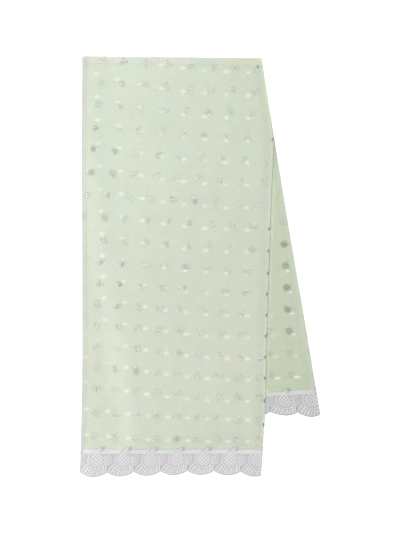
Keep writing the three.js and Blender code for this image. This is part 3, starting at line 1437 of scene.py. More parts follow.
@dataclass
class WovenRounds:
    """Silver rounds woven into the cloth: a broken ring round a hatched heart."""

    radius: float = 0.0056
    heart: float = 0.0035
    fine: float = 0.00036
    height: float = 0.00016
    fold_margin: float = 0.0075
    turn_margin: float = 0.012
    seam_run: float = 0.26
    brown_dark: Paint = (0.480, 0.488, 0.420)
    green_dark: Paint = (0.50, 0.54, 0.470)
    brown_light: Paint = (0.73, 0.75, 0.69)
    green_light: Paint = (0.76, 0.79, 0.77)
    slip_dark: Paint = (0.27, 0.27, 0.25)
    close_depth: float = 0.93
    close_width: float = 1.6
    bright: float = 1.0
    close_ones: tuple[tuple[int, int], ...] = (
        (2, 5), (3, 0), (4, 0), (4, 1), (5, 0), (5, 1), (6, 0), (6, 5), (7, 0), (7, 1), (8, 1),
        (9, 1), (9, 2), (9, 5), (10, 2), (10, 5), (11, 1), (11, 2), (13, 3), (14, 3), (17, 5),
    )
    upright_ones: tuple[tuple[int, int], ...] = (
        (3, 5), (6, 1), (7, 5), (8, 5), (10, 1), (12, 1), (12, 5), (13, 5), (14, 2)
    )
    folded_rows: tuple[int, ...] = (0, 3, 7, 8, 9, 10, 11, 12, 13, 14, 15, 16, 17)
    dice: random.Random = field(default_factory=lambda: random.Random(5))

    def cord(
        self, draft: MeshDraft, surface: Surface, path: Sequence[Pair], half: float, paint: Paint
    ) -> None:
        """Add a low flat cord along a plan path on the cloth.

        Args:
            draft: The mesh that it joins.
            surface: The cloth that it lies on.
            path: Plan points along its middle.
            half: Half its width.
            paint: Its paint.
        """
        kept = [spot for spot in path if surface.holds(*spot)]
        if len(kept) > 1:
            draft.tube(SILVER_CORD.rings(kept, half, self.height, surface.point), paint, False)

    def ring(self, middle: Pair, weave: Weave) -> list[list[Pair]]:
        """Return the arcs of a round's broken ring.

        Args:
            middle: The round's middle in plan.
            weave: The way in which it is woven.

        Returns:
            The plan points of each arc.
        """
        arcs = []
        step = math.tau / (weave.value + 1)
        first = self.dice.uniform(0, math.tau)
        for k in range(weave.value):
            start = first + k * step
            sweep = step * self.dice.uniform(0.5, 0.85)
            r = self.radius * self.dice.uniform(0.9, 1.05)
            turns = [start + sweep * t / 3 for t in range(4)]
            arcs.append([(middle[0] + r * math.cos(t), middle[1] + 0.92 * r * math.sin(t)) for t in turns])
        return arcs

    def threads(self, middle: Pair, weave: Weave) -> list[list[Pair]]:
        """Return the short threads that cross a round's heart.

        Args:
            middle: The round's middle in plan.
            weave: The way in which it is woven.

        Returns:
            The plan points of each thread.
        """
        count, pitch, long, turn = {
            Weave.FAINT: (3, 0.0016, 0.7, self.dice.choice((0.5, -0.5, 1.2))),
            Weave.RING: (4, 0.0013, 0.8, self.dice.choice((0.3, -0.4, 0.9))),
            Weave.UPRIGHT: (4, 0.0018, 1.5, math.pi / 2),
            Weave.LEVEL: (4, 0.0017, 1.6, 0.05),
            Weave.CLOSE: (6, 0.33 * self.heart, 1.05, self.dice.choice((0.2, 1.5))),
        }[weave]
        c, s = math.cos(turn), math.sin(turn)
        threads = []
        for k in range(count):
            aside = pitch * (k - (count - 1) / 2)
            half = math.sqrt(max(self.heart**2 - aside**2, 0.0)) * long * self.dice.uniform(0.75, 1.1)
            slip = self.dice.uniform(-0.0005, 0.0005)
            ends = [(u * c - aside * s, u * s + aside * c) for u in (slip - half, slip, slip + half)]
            threads.append([(middle[0] + x, middle[1] + y) for x, y in ends])
        return threads

    def choose(self, row: int, column: int, rear: bool) -> Weave:
        """Choose a round's weave: closest down the rear flap's middle, plainer to the front's left.

        Args:
            row: The round's row.
            column: The round's column.
            rear: Whether it is on the rear flap.

        Returns:
            The way in which it is woven.
        """
        if rear:
            weights = [0, 0, 0, 0, 1] if column == 0 and 0 < row < 6 else [60, 30, 0, 10, 0]
        elif (row, column) in self.close_ones:
            return Weave.CLOSE
        elif (row, column) in self.upright_ones:
            return Weave.UPRIGHT
        elif row < 3:
            weights = [56, 34, 6, 4, 0]
        elif column <= 2:
            weights = [22, 62, 8, 8, 0]
        else:
            weights = [48, 32, 6, 14, 0]
        return self.dice.choices(list(Weave), weights)[0]

    def add(self, draft: MeshDraft, surface: Surface, middle: Pair, weave: Weave) -> None:
        """Add one round at a plan place: browner to the left, and darker where it is close.

        Args:
            draft: The mesh that it joins.
            surface: The cloth that it lies on.
            middle: The round's middle in plan.
            weave: The way in which it is woven.
        """
        share = clamp((middle[0] + 0.17) / 0.18)
        close = weave is Weave.CLOSE
        depth = self.dice.uniform(0.92, 1.10) * (self.close_depth if close else 1.04)
        dark = tuple(c * depth for c in mix_paint(self.brown_dark, self.green_dark, share))
        light = mix_paint(self.brown_light, self.green_light, share)
        ring_half = self.fine * (1.1 if weave is Weave.FAINT else 1.35)
        for path in self.ring(middle, weave):
            tone = light if self.dice.random() < 0.25 * self.bright else dark
            self.cord(draft, surface, path, ring_half, tone)
        bright = (0.15 if weave in (Weave.CLOSE, Weave.UPRIGHT) else 0.5) * self.bright
        half = self.fine * (self.close_width if close else 1.05)
        for path in self.threads(middle, weave):
            tone = light if self.dice.random() < bright else dark
            self.cord(draft, surface, path, half, tone)

    def add_folded(self, draft: MeshDraft, surface: Surface, grid: RoundsGrid) -> None:
        """Add the rounds that the right fold squeezes into dark upright slips.

        Args:
            draft: The mesh that it joins.
            surface: The cloth that it lies on.
            grid: The places of the front's rounds.
        """
        for row in self.folded_rows:
            y = grid.row_y(row) - 0.0178 + (0.0080 if row == 0 else 0.0)
            edge = surface.edges(y)[1] - (0.0062 if row == 0 else 0.0)
            for k, half in enumerate((0.0018, 0.0029, 0.0022)):
                x = edge - 0.0004 - 0.0010 * k
                path = [(x + 0.10 * t, y + t) for t in (-half, 0.0, half)]
                self.cord(draft, surface, path, 0.00056, self.slip_dark)

    def build(self, name: str, surface: Surface, grid: Grid) -> bpy.types.Object:
        """Return all the rounds on one stretch of cloth as one piece.

        Args:
            name: The piece's name.
            surface: The cloth that it lies on.
            grid: The places of the rounds.

        Returns:
            The new piece.
        """
        draft = MeshDraft()
        for row, column, x, y in grid.places():
            if self.belongs(surface, x, y):
                weave = self.choose(row, column, surface.side is Face.REAR)
                self.add(draft, surface, (x, y), weave)
        if surface.side is Face.FRONT:
            self.add_folded(draft, surface, grid)
        return draft.piece(name, SILVER, "cloth")

    def belongs(self, surface: Surface, x: float, y: float) -> bool:
        """Tell whether a round at a plan place shows on this stretch of cloth.

        Args:
            surface: The stretch of cloth.
            x: Plan position.
            y: Plan position.

        Returns:
            Whether it does.
        """
        left, right = surface.edges(y)
        reach = self.radius * 0.3
        if not left - reach < x < right + reach:
            return False
        down = PLAN.top_y - y
        if surface.side is Face.FRONT:
            return down < PLAN.seam - self.radius * 1.3 and x < right - self.fold_margin
        slant = PLAN.rear_slant * clamp((right - x) / self.seam_run)
        if y < PLAN.top_y - PLAN.rear_seam + self.radius - slant:
            return False
        if surface.side is Face.REAR:
            return x > PLAN.left_x + PLAN.edges(down)[1] - self.radius
        return down > self.turn_margin


@dataclass
class WovenDots:
    """Soft white dots of the second layer, like small pointed lozenges."""

    half_width: float = 0.0056
    half_height: float = 0.0036
    height: float = 0.00010
    steps: int = 16
    dim: Paint = (0.86, 0.90, 0.79)
    bright: Paint = (0.985, 0.98, 0.905)

    def outline(self, share: float) -> list[Pair]:
        """Return the lozenge's outline at a share of its size, with rounded points.

        Args:
            share: The share of its full size.

        Returns:
            The points, measured from its middle.
        """
        points = []
        for k in range(self.steps):
            angle = math.tau * k / self.steps
            c, s = math.cos(angle), math.sin(angle)
            reach = 1 / (abs(c) ** 1.35 + abs(s) ** 1.35) ** (1 / 1.35)
            points.append((c * reach * self.half_width * share, s * reach * self.half_height * share))
        return points

    def build(self, name: str, place: Place, spots: Sequence[Pair]) -> bpy.types.Object:
        """Return the dots at plan spots as one piece, each fading into the cloth at its rim.

        Args:
            name: The piece's name.
            place: Puts a plan point at a rise over the second layer.
            spots: The dots' middles.

        Returns:
            The piece.
        """
        draft = MeshDraft()
        rim: Paint = UNDER.tint
        shares = (0.35, 0.6, 0.82, 1.0)
        dice = random.Random(9)
        for x, y in spots:
            bright = mix_paint(self.dim, self.bright, dice.random())
            paints = [bright, bright, bright, mix_paint(bright, rim, 0.5), rim]
            rings = [
                [place(x + u, y + w, self.height * (1 - share**2)) for u, w in self.outline(share)]
                for share in shares
            ]
            draft.dome(place(x, y, self.height), rings, paints)
        return draft.piece(name, WHITE_DOT, "cloth")


@dataclass(frozen=True)
class LaceFrame:
    """The lace's seam in plan, the ways its two ends run down from it, and how it draws up."""

    start: Pair
    end: Pair
    end_slopes: Pair
    first_scallop: float
    drawn: Callable[[float], float]
    place: Place
    level: float
    pitch: float = 0.0395
    scallop: float = 0.007

    @property
    def width(self) -> float:
        """Return the seam's length."""
        return math.dist(self.start, self.end)

    def plan(self, s: float, d: float) -> Pair:
        """Return the plan point s along the seam and d down from it.

        Args:
            s: Place along the seam.
            d: Distance down from the seam.

        Returns:
            The plan point.
        """
        share = s / self.width
        ends = [Vector((slope, -1.0)).normalized() for slope in self.end_slopes]
        way = ends[0].lerp(ends[1], clamp(share))
        x, y = between(self.start, self.end, share)
        down = d * self.drawn(clamp(share))
        return x + way.x * down, y + way.y * down

    def point(self, s: float, d: float, v: float) -> Point:
        """Return the point s along, d down and v over the border's base."""
        return self.place(*self.plan(s, d), self.level + v)

    def phase(self, s: float) -> float:
        """Return how far into its scallop a place along the seam lies."""
        return (s + self.first_scallop) % self.pitch

    def depth(self, s: float) -> float:
        """Return the lace's depth below the seam: round scallops that meet in notches.

        Args:
            s: Place along the seam.

        Returns:
            The depth in metres.
        """
        half = self.pitch / 2
        radius = (half**2 + self.scallop**2) / (2 * self.scallop)
        aside = self.phase(s) - half
        return PLAN.lace_depth - radius + math.sqrt(radius**2 - aside**2)

    def marks(self, steps: int) -> list[float]:
        """Return places along the seam, with one on every notch.

        Args:
            steps: How many places each scallop has.

        Returns:
            The places in order.
        """
        step = self.pitch / steps
        marks = [0.0]
        s = math.ceil(self.first_scallop / step) * step - self.first_scallop
        while s < self.width - step * 0.35:
            if s > step * 0.35:
                marks.append(s)
            s += step
        return [*marks, self.width]

    def scallops(self) -> list[float]:
        """Return where each scallop starts along the seam, the cut ones too."""
        count = math.ceil((self.width + self.first_scallop) / self.pitch)
        return [k * self.pitch - self.first_scallop for k in range(count)]


def drawn_front(share: float) -> float:
    """Return the share of its depth that the front lace keeps where it is drawn up."""
    return 1 - 0.085 * math.sin(math.pi * share**1.6)


def drawn_rear(share: float) -> float:
    """Return the share of its depth that the rear lace keeps where it is drawn up."""
    return 1 - 0.17 * fade(share, 0.72, 0.98)


def lace_frame(side: str, level: float) -> LaceFrame:
    """Return a lace border's frame.

    Args:
        side: "front" or "rear".
        level: Height of the border's base over the inner face of the flap's layers.

    Returns:
        The frame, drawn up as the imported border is.
    """
    if side == "front":
        row = PLAN.front_row(PLAN.seam)
        return LaceFrame(*row, PLAN.front_lace_ends, 0.0, drawn_front, press_front, level)
    row, ends = PLAN.rear_row(PLAN.rear_seam), (PLAN.rear_lean, PLAN.rear_lean)
    return LaceFrame(*row, ends, PLAN.rear_first_scallop, drawn_rear, press_rear, level)


@dataclass(frozen=True)
class Strand:
    """A raised strand of the lace: half its width, its height, its lightness and its warmth."""

    half: float
    height: float
    light: float
    warm: float = 0.0


@dataclass
class LaceBorder:
    """A scalloped lace border: a net ground with raised paisleys, leaves, petals and cords."""

    name: str
    frame: LaceFrame
    darker: float = 1.0
    contrast: float = 0.72
    ground: float = 0.00045
    thickness: float = 0.00035
    body_radius: float = 0.0116
    body_along: float = 0.0240
    body_down: float = 0.0148
    tip_angle: float = math.radians(90)
    tip_reach: float = 1.02
    tip_spread: float = 0.36
    curl: float = 0.46
    petal_pitch: float = 0.0044
    leaf_along: float = 0.0017
    leaf_down: float = 0.0140
    leaf_half: Pair = (0.0034, 0.0064)
    body_light: Pair = (0.66, 0.4)
    leaf_light: Pair = (0.70, 0.5)
    body_cord: Strand = Strand(0.00062, 0.00048, 1.06)
    tip_thread: Strand = Strand(0.00050, 0.00072, 0.50, -0.6)
    hatch_pitch: float = 0.0040
    hatching: tuple[tuple[float, Strand], ...] = (
        (48, Strand(0.00072, 0.00060, 1.06)),
        (-42, Strand(0.00072, 0.00054, 0.96)),
    )
    petal_pair: tuple[Strand, Strand] = (Strand(0.00090, 0.00045, 0.94), Strand(0.00090, 0.00045, 1.05))
    leaf_cord: Strand = Strand(0.00050, 0.00042, 0.98)
    leaf_vein: Strand = Strand(0.0005, 0.00052, 0.9)
    notch_cord: Strand = Strand(0.00060, 0.00060, 0.52, 0.4)
    rim_cords: tuple[tuple[float, Strand], ...] = (
        (0.0008, Strand(0.0008, 0.0005, 0.62)),
        (0.0026, Strand(0.0006, 0.0004, 1.0)),
    )
    seam_bands: tuple[tuple[float, Strand], ...] = (
        (0.0004, Strand(0.0020, 0.00036, 0.92)),
        (0.0034, Strand(0.0017, 0.00026, 0.90)),
    )
    stitch: Strand = Strand(0.00028, 0.00060, 0.86)
    stitch_pitch: float = 0.0031
    draft: MeshDraft = field(default_factory=MeshDraft)

    def shade(self, light: float, s: float = 0.0, warm: float = 0.0) -> Paint:
        """Return a paint of a lightness, a little warmer or mauver by warm and along the lace.

        Args:
            light: The lightness.
            s: Place along the seam.
            warm: The warmth, negative where it is mauver.

        Returns:
            The paint.
        """
        light = (0.86 + (light - 0.86) * self.contrast) * self.darker
        warm += 0.7 * math.sin(s * 31 - 1.2)
        return light * (1 + 0.018 * warm), light * (1 - 0.014 * warm), light * (1 - 0.006 * warm)

    def at(self, s: float, d: float, height: float) -> Point:
        """Return a point of the raised work, lifted onto the cloth where it passes the seam."""
        return self.frame.point(s, d, self.ground + 0.0006 * fade(d, -0.0025, 0.0005) + height)

    def inside(self, s: float, d: float, margin: float = 0.0) -> bool:
        """Tell whether a place lies on the lace, clear of its ends and its scalloped edge."""
        between_ends = margin <= s <= self.frame.width - margin
        return between_ends and d <= self.frame.depth(s) - margin

    def trace(
        self, path: Sequence[Pair], strand: Strand, along: float = 0.0, closed: bool = False
    ) -> None:
        """Add a raised strand, where it stays on the lace.

        Args:
            path: Its (s, d) places.
            strand: Its sizes and its tone.
            along: The place along the seam that its tone is taken for.
            closed: Whether its ends meet, unless the lace's edge cuts it.
        """
        kept = [p for p in path if self.inside(*p, margin=strand.half * 0.6)]
        joined = closed and len(kept) == len(path)
        if len(kept) > 1:
            rings = LACE_WORK.rings(kept, strand.half, strand.height, self.at, joined)
            self.draft.tube(rings, self.shade(strand.light, along, strand.warm), joined)

    def net(self) -> bpy.types.Object:
        """Return the ground: a thin scalloped net that the rest stands on.

        Returns:
            The new piece.
        """
        rows = 24
        draft = MeshDraft()
        rings, paints = [], []
        for s in self.frame.marks(24):
            depth = self.frame.depth(s)
            downs = [depth * j / rows for j in range(rows + 1)]
            mesh = [math.sin(s * 2600) * math.sin(d * 2600) for d in downs]
            top = [self.frame.point(s, d, self.ground + 0.00005 * m) for d, m in zip(downs, mesh)]
            low = [self.frame.point(s, d, self.ground - self.thickness) for d in downs]
            rings.append(top + low[::-1])
            tones = [self.shade(0.90 + 0.16 * m, s) for m in mesh]
            paints.append(tones + tones[::-1])
        draft.sweep(rings, paints)
        return draft.piece(f"{self.name}_net", LACE_NET, "lace")

    def reach(self, angle: float) -> float:
        """Return the paisley's radius in a direction, as a share of its round body's."""
        away = (angle - self.tip_angle + math.pi) % math.tau - math.pi
        return 1 + self.tip_reach * bell(away, 0.0, self.tip_spread)

    def paisley_point(self, start: float, angle: float, share: float) -> Pair:
        """Return a place on a paisley, share of the way from its middle to its outline.

        Args:
            start: Where its scallop starts along the seam.
            angle: Direction from its middle in radians.
            share: The share of the way out.

        Returns:
            The place along the seam and down from it.
        """
        r = self.reach(angle) * share
        bent = angle - self.curl * max(r - 1, 0.0)
        s = start + self.body_along + self.body_radius * r * math.cos(bent)
        return s, self.body_down - self.body_radius * r * math.sin(bent)

    def paisley(self, start: float) -> None:
        """Add one paisley: a low domed body with a curled tip, hatched both ways and outlined.

        One that a fold cuts gets its hatching and outline only.

        Args:
            start: Where its scallop starts along the seam.
        """
        steps = 44
        angles = [math.tau * k / steps for k in range(steps)]
        if all(self.inside(*self.paisley_point(start, a, 1.0)) for a in angles):
            levels = ((0.3, 0.00024), (0.6, 0.00022), (0.85, 0.00016), (1.0, 0.0))
            rings = [
                [self.at(*self.paisley_point(start, a, share), h) for a in angles]
                for share, h in levels
            ]
            light, warm = self.body_light
            top = self.at(start + self.body_along, self.body_down, 0.00025)
            self.draft.dome(top, rings, [self.shade(light, start, warm)] * 5)
        self.hatch(start)
        self.outline(start)

    def outline(self, start: float) -> None:
        """Add the pale cord round the body, open at the tip, and the dark threads of the tip.

        Args:
            start: Where its scallop starts along the seam.
        """
        sweep = [math.radians(lerp(136, 402, k / 40)) for k in range(41)]
        path = [self.paisley_point(start, a, 1.10) for a in sweep]
        self.trace(path, self.body_cord, start)
        tip = self.paisley_point(start, self.tip_angle, 0.93)
        for aside, long in ((-0.0026, 0.0052), (-0.0009, 0.0076), (0.0010, 0.0070)):
            thread = [(tip[0] + aside - 0.10 * k * long, tip[1] + k * long) for k in (0.0, 0.5, 1.0)]
            self.trace(thread, self.tip_thread, start)

    def hatch(self, start: float) -> None:
        """Add the slanting threads that cross the body both ways.

        Args:
            start: Where its scallop starts along the seam.
        """
        for tilt, strand in self.hatching:
            c, s = math.cos(math.radians(tilt)), math.sin(math.radians(tilt))
            for k in range(-6, 7):
                path = []
                for m in range(-20, 21):
                    u, w = m * 0.0011, k * self.hatch_pitch
                    x, y = u * c - w * s, u * s + w * c
                    r = math.hypot(x, y) / self.body_radius
                    bent = math.atan2(y, x) + self.curl * max(r - 1, 0.0)
                    if r < self.reach(bent) * 0.9:
                        path.append((start + self.body_along + x, self.body_down - y))
                self.trace(path, strand, start)

    def petals(self, start: float) -> None:
        """Add the slanting petals that fill the scallop from its body and leaf down to its rim.

        Args:
            start: Where its scallop starts along the seam.
        """
        count = round(self.frame.pitch / self.petal_pitch)
        centre = (start + self.body_along, self.body_down)
        for k in range(count):
            s = start + (k + 0.35) * self.frame.pitch / count
            if not 0.001 < s < self.frame.width - 0.001:
                continue
            d = self.frame.depth(s) - 0.0030
            path = []
            while len(path) < 16 and d > self.leaf_down + 0.004:
                if math.dist((s, d), centre) < self.body_radius * 1.20:
                    break
                path.append((s, d))
                outward = Vector((s - centre[0], d - centre[1])).normalized()
                way = (Vector((0.66, -1.0)) - 0.55 * outward).normalized()
                s, d = s + way.x * 0.0013, d + way.y * 0.0013
            if len(path) > 2:
                self.trace(path, self.petal_pair[k % 2], start)

    def leaf(self, start: float) -> None:
        """Add the small oval leaf beside each notch, its vein, and the dark cord below it.

        Args:
            start: Where its scallop starts along the seam.
        """
        steps = 22
        middle = (start + self.leaf_along, self.leaf_down)
        half_s, half_d = self.leaf_half

        def ring(share: float) -> list[Pair]:
            """Return the oval at a share of its size.

            Args:
                share: The share of the leaf's size.

            Returns:
                Places along the seam and down from it.
            """
            turns = [math.tau * k / steps for k in range(steps)]
            return [
                (middle[0] + half_s * share * math.cos(t), middle[1] + half_d * share * math.sin(t))
                for t in turns
            ]

        if all(self.inside(*p) for p in ring(1.0)):
            rings = [
                [self.at(*p, h) for p in ring(share)]
                for share, h in ((0.5, 0.00030), (0.85, 0.00022), (1.0, 0.0))
            ]
            light, warm = self.leaf_light
            self.draft.dome(self.at(*middle, 0.00032), rings, [self.shade(light, start, warm)] * 4)
        self.trace(ring(1.20), self.leaf_cord, start, closed=True)
        vein = [(middle[0], middle[1] + half_d * 0.8 * (t / 3 - 1)) for t in range(7)]
        self.trace(vein, self.leaf_vein, start)
        notch = [(start + 0.0007 * math.sin(k), 0.0312 - 0.0018 * k) for k in range(6)]
        self.trace(notch, self.notch_cord, start)

    def rims(self) -> None:
        """Add the cords along the scalloped edge: a heavy dark outer one and a pale inner one."""
        for inset, strand in self.rim_cords:
            path = [(s, self.frame.depth(s) - inset) for s in self.frame.marks(22)]
            self.trace(path, strand, 0.04)

    def seam(self) -> None:
        """Add the two soft bands where the lace is sewn to the cloth, and the stitches."""
        for down, strand in self.seam_bands:
            self.trace([(s, down) for s in self.frame.marks(10)], strand)
        s = 0.002
        while s < self.frame.width - 0.002:
            self.trace([(s, -0.0018), (s + 0.0007, 0.0012)], self.stitch)
            s += self.stitch_pitch

    def build(self) -> list[bpy.types.Object]:
        """Return the border's two pieces: its net and the raised work on it.

        Returns:
            The net and the raised work.
        """
        self.rims()
        self.seam()
        for start in self.frame.scallops():
            self.petals(start)
            self.leaf(start)
            self.paisley(start)
        self.leaf(self.frame.scallops()[-1] + self.frame.pitch)
        return [self.net(), self.draft.piece(f"{self.name}_relief", LACE_CORD, "lace")]


@dataclass
class HiddenBorders:
    """The scalloped borders of the hidden layers, in thin leaves under the showing one."""

    name: str
    frame: LaceFrame
    height: float
    insets: tuple[float, ...] = (0.0016, 0.0032, 0.0022, 0.0038, 0.0026)
    thickness: float = 0.00035

    def build(self) -> bpy.types.Object:
        """Return all the leaves as one piece.

        Returns:
            The new piece.
        """
        draft = MeshDraft()
        pitch = self.height / len(self.insets)
        rows = 5
        tones = [mix_paint((1.2, 1.2, 1.2), (1.5, 1.5, 1.5), j / rows) for j in range(rows + 1)]
        for k, inset in enumerate(self.insets):
            low = pitch * (k + 0.15)
            scale = (self.frame.width - 2 * inset) / self.frame.width
            rings = []
            for s in self.frame.marks(10):
                depth = self.frame.depth(s) - inset
                places = [(inset + s * scale, depth * j / rows) for j in range(rows + 1)]
                top = [self.frame.point(*p, low + self.thickness) for p in places]
                under = [self.frame.point(*p, low) for p in places]
                rings.append(top + under[::-1])
            draft.sweep(rings, [tones + tones[::-1]] * len(rings))
        return draft.piece(self.name, LACE_NET, "lace")


@dataclass
class Studio:
    """The plain ground, the soft light and the camera."""

    ground_half: float = 3.0
    ground_z: float = -0.0004
    distance: float = 2.184
    lens: float = 100.0
    aim_y: float = 0.0005
    sky: float = 0.95
    key: float = 32.0
    key_place: Point = (-1.75, 0.35, 1.50)
    key_size: float = 1.6

    def ground(self) -> None:
        """Lay the ground."""
        draft = MeshDraft()
        h, z = self.ground_half, self.ground_z
        draft.faces.append(tuple(draft.row([(-h, -h, z), (h, -h, z), (h, h, z), (-h, h, z)])))
        draft.shape("ground", GROUND)

    def lights(self) -> None:
        """Set an even pale sky and one broad soft lamp from the upper left."""
        world = bpy.data.worlds.new("soft_sky")
        bpy.context.scene.world = world
        world.use_nodes = True
        sky = world.node_tree.nodes["Background"]
        sky.inputs["Color"].default_value = (1.0, 1.0, 1.0, 1.0)
        sky.inputs["Strength"].default_value = self.sky
        lamp = bpy.data.lights.new("soft_key", "AREA")
        lamp.energy = self.key
        lamp.size = self.key_size
        obj = bpy.data.objects.new("soft_key", lamp)
        obj.location = self.key_place
        obj.rotation_euler = (-Vector(self.key_place)).to_track_quat("-Z", "Y").to_euler()
        bpy.context.collection.objects.link(obj)

    def camera(self) -> None:
        """Hang the camera straight over the cloth, as far off as the photo's frame needs."""
        lens = bpy.data.cameras.new("camera")
        lens.lens = self.lens
        lens.clip_end = 20.0
        obj = bpy.data.objects.new("camera", lens)
        obj.location = (0.0, self.aim_y, self.distance)
        bpy.context.collection.objects.link(obj)
        bpy.context.scene.camera = obj

    def build(self) -> None:
        """Build the whole studio, with colours shown as they are."""
        self.ground()
        self.lights()
        self.camera()
        bpy.context.scene.view_settings.view_transform = "Standard"


def tinted(*paints: Paint) -> Paint:
    """Return the product of some paints."""
    return tuple(math.prod(channel) for channel in zip(*paints))


@dataclass(frozen=True)
class FrontTone:
    """The front flap's paint, with painted shade and painted light: paints, and the distances over which
    they come or go.
    """

    lower_gain: float = 0.062
    lower: Pair = (0.12, 0.45)
    hem: Pair = (0.0048, 0.0062)
    # Painted shade where the cloth slopes down to its left fold.
    slope_shade_paint: Paint = (0.956, 0.947, 0.942)
    slope: Pair = (0.006, 0.016)
    # Painted shade in the upper part, a little in from the left fold.
    left_shade_gain: float = 0.022
    left_shade_from: Pair = (0.0050, 0.0065)
    left_shade_to: Pair = (0.026, 0.066)
    left_shade_down: Pair = (0.36, 0.42)
    top_paint: Paint = (1.05, 1.02, 1.06)
    top: Pair = (0.0085, 0.0105)
    tuck_paint: Paint = (0.96, 0.96, 0.96)
    tuck: Pair = (0.0115, 0.0012)
    cool: Paint = (0.990, 1.0, 1.018)
    warm: Paint = (1.012, 0.998, 0.984)
    # Painted shade: darker towards the right, as if the light fell off.
    right_shade_paint: Paint = (0.962, 0.955, 0.942)
    right_shade_ease: Pair = (0.25, 0.50)
    down_paint: Paint = (0.985, 0.970, 0.970)
    down: Pair = (0.10, 0.35)
    # Painted highlight along the rolled right edge, then painted light about 10 mm in from it, lower down.
    rim_highlight_gain: float = 0.12
    rim: Pair = (0.0008, 0.0021)
    glow_gain: float = 0.026
    glow: Pair = (0.0100, 0.0062)
    glow_down: Pair = (0.10, 0.18)
    # Painted light just above the lace seam.
    seam_light_gain: float = 0.03
    seam: Pair = (0.003, 0.010)

    def paint(self, x: float, y: float, inset: float, width: float) -> Paint:
        """Return the paint: greyer with painted shade by the left fold, painted shade towards the right,
        painted light along the right edge and above the seam, paler at the turned top edge.

        Args:
            x: Plan position.
            y: Plan position.
            inset: Distance in from the left edge.
            width: The flap's width there.

        Returns:
            The paint, which is brighter than the plain cloth's where it is over 1.
        """
        share, down = inset / width, PLAN.top_y - y
        from_top, from_right = down - PLAN.top_slope * clamp(share), width - inset
        lower = 1 + self.lower_gain * smoothstep(down, *self.lower)
        # Painted shade along the left fold, a little lighter lower down.
        edge = mix_paint(tinted(FOLD_SHADE_GREY, (lower,) * 3), PLAIN, smoothstep(inset, *self.hem))
        # Painted shade where the cloth slopes down towards its left fold.
        slope = mix_paint(self.slope_shade_paint, PLAIN, smoothstep(inset, *self.slope))
        # Painted shade in the upper part, a little in from the left fold.
        beside = fade(inset, *self.left_shade_to) * fade(down, *self.left_shade_down)
        beside *= smoothstep(inset, *self.left_shade_from)
        top = mix_paint(PLAIN, self.top_paint, fade(from_top, *self.top) * (1 - share))
        tuck = mix_paint(PLAIN, self.tuck_paint, bell(from_top, *self.tuck))
        warmth = 0.5 + 0.5 * math.sin(x * 61 + 2.0 * math.sin(y * 17)) * math.sin(y * 43 + 1.0)
        cloud = mix_paint(self.cool, self.warm, warmth)
        # Painted shade: darker towards the right, as if the light fell off, less so lower down.
        fall = smoothstep(share, 0.0, 1.0) * (1 - 0.35 * smoothstep(down, *self.right_shade_ease))
        rightward_shade = mix_paint(PLAIN, self.right_shade_paint, fall)
        downwards = mix_paint(PLAIN, self.down_paint, smoothstep(down, *self.down))
        # Painted highlight along the rolled right edge, and painted light about 10 mm in from it, lower
        # down.
        rim = self.rim_highlight_gain * fade(from_right, *self.rim)
        rim += self.glow_gain * bell(from_right, *self.glow) * smoothstep(down, *self.glow_down)
        # Painted light just above the lace seam, over the shade at the cloth's lower edge.
        seam = self.seam_light_gain * fade(PLAN.seam - down, *self.seam)
        # The painted light, less the painted shade in from the left fold.
        light = 1 + max(rim, seam) - self.left_shade_gain * beside
        return tinted(edge, slope, top, tuck, cloud, rightward_shade, downwards, (light,) * 3)


@dataclass(frozen=True)
class RearTone:
    """The rear flap's paint, with a painted shadow and painted light: paints, and the places and distances
    over which they come or go.
    """

    deep: Paint = (0.880, 0.890, 0.830)
    streak_paint: Paint = (0.86, 0.84, 0.80)
    streak_x: float = 0.128
    streak_half: float = 0.006
    streak_from: Pair = (-0.04, 0.05)
    streak_to: Pair = (0.13, 0.165)
    # Painted shadow along the tuck above the rear lace.
    tuck_paint: Paint = (0.78, 0.87, 0.72)
    tuck_shadow_y: float = -0.1755
    tuck_shadow_half: float = 0.0024
    tuck_shadow_to: Pair = (0.138, 0.160)
    fold_paint: Paint = (0.925, 0.915, 0.915)
    fold: Pair = (0.0045, 0.0075)
    # Painted light past the front flap's edge, where its shadow falls, and along the right side.
    glow_gain: float = 0.22
    glow_half: float = 0.0026
    side_light_gain: float = 0.045
    side: Pair = (0.012, 0.022)
    side_light_from: Pair = (-0.165, -0.095)

    def paint(self, x: float, y: float, inset: float, width: float) -> Paint:
        """Return the paint: deeper, browner down the middle, with a painted shadow along a tuck and painted
        light beside the front flap's edge and along the right side.

        Args:
            x: Plan position.
            y: Plan position.
            inset: Distance in from the left edge.
            width: The flap's width there.

        Returns:
            The paint.
        """
        streak = bell(x - self.streak_x - 0.03 * (0.1 - y), 0.0, self.streak_half)
        streak *= smoothstep(-y, *self.streak_from) * fade(-y, *self.streak_to)
        base = mix_paint(self.deep, self.streak_paint, 0.8 * streak)
        # Painted shadow along the tuck above the lace, where the cloth is creased into a trough.
        tuck = bell(y - self.tuck_shadow_y - 0.08 * (x - 0.13), 0.0, self.tuck_shadow_half)
        base = mix_paint(base, self.tuck_paint, tuck * fade(x, *self.tuck_shadow_to))
        from_right = width - inset
        past_front = x - PLAN.left_x - PLAN.edges(clamp(PLAN.top_y - y, 0.0, PLAN.fall))[1]
        # Painted light just past the front flap's edge, where its shadow falls on this flap, and along the
        # right side.
        glow = 1 + self.glow_gain * bell(past_front, 0.0, self.glow_half)
        glow += self.side_light_gain * fade(from_right, *self.side) * smoothstep(y, *self.side_light_from)
        return tinted(mix_paint(base, self.fold_paint, fade(from_right, *self.fold)), (glow,) * 3)


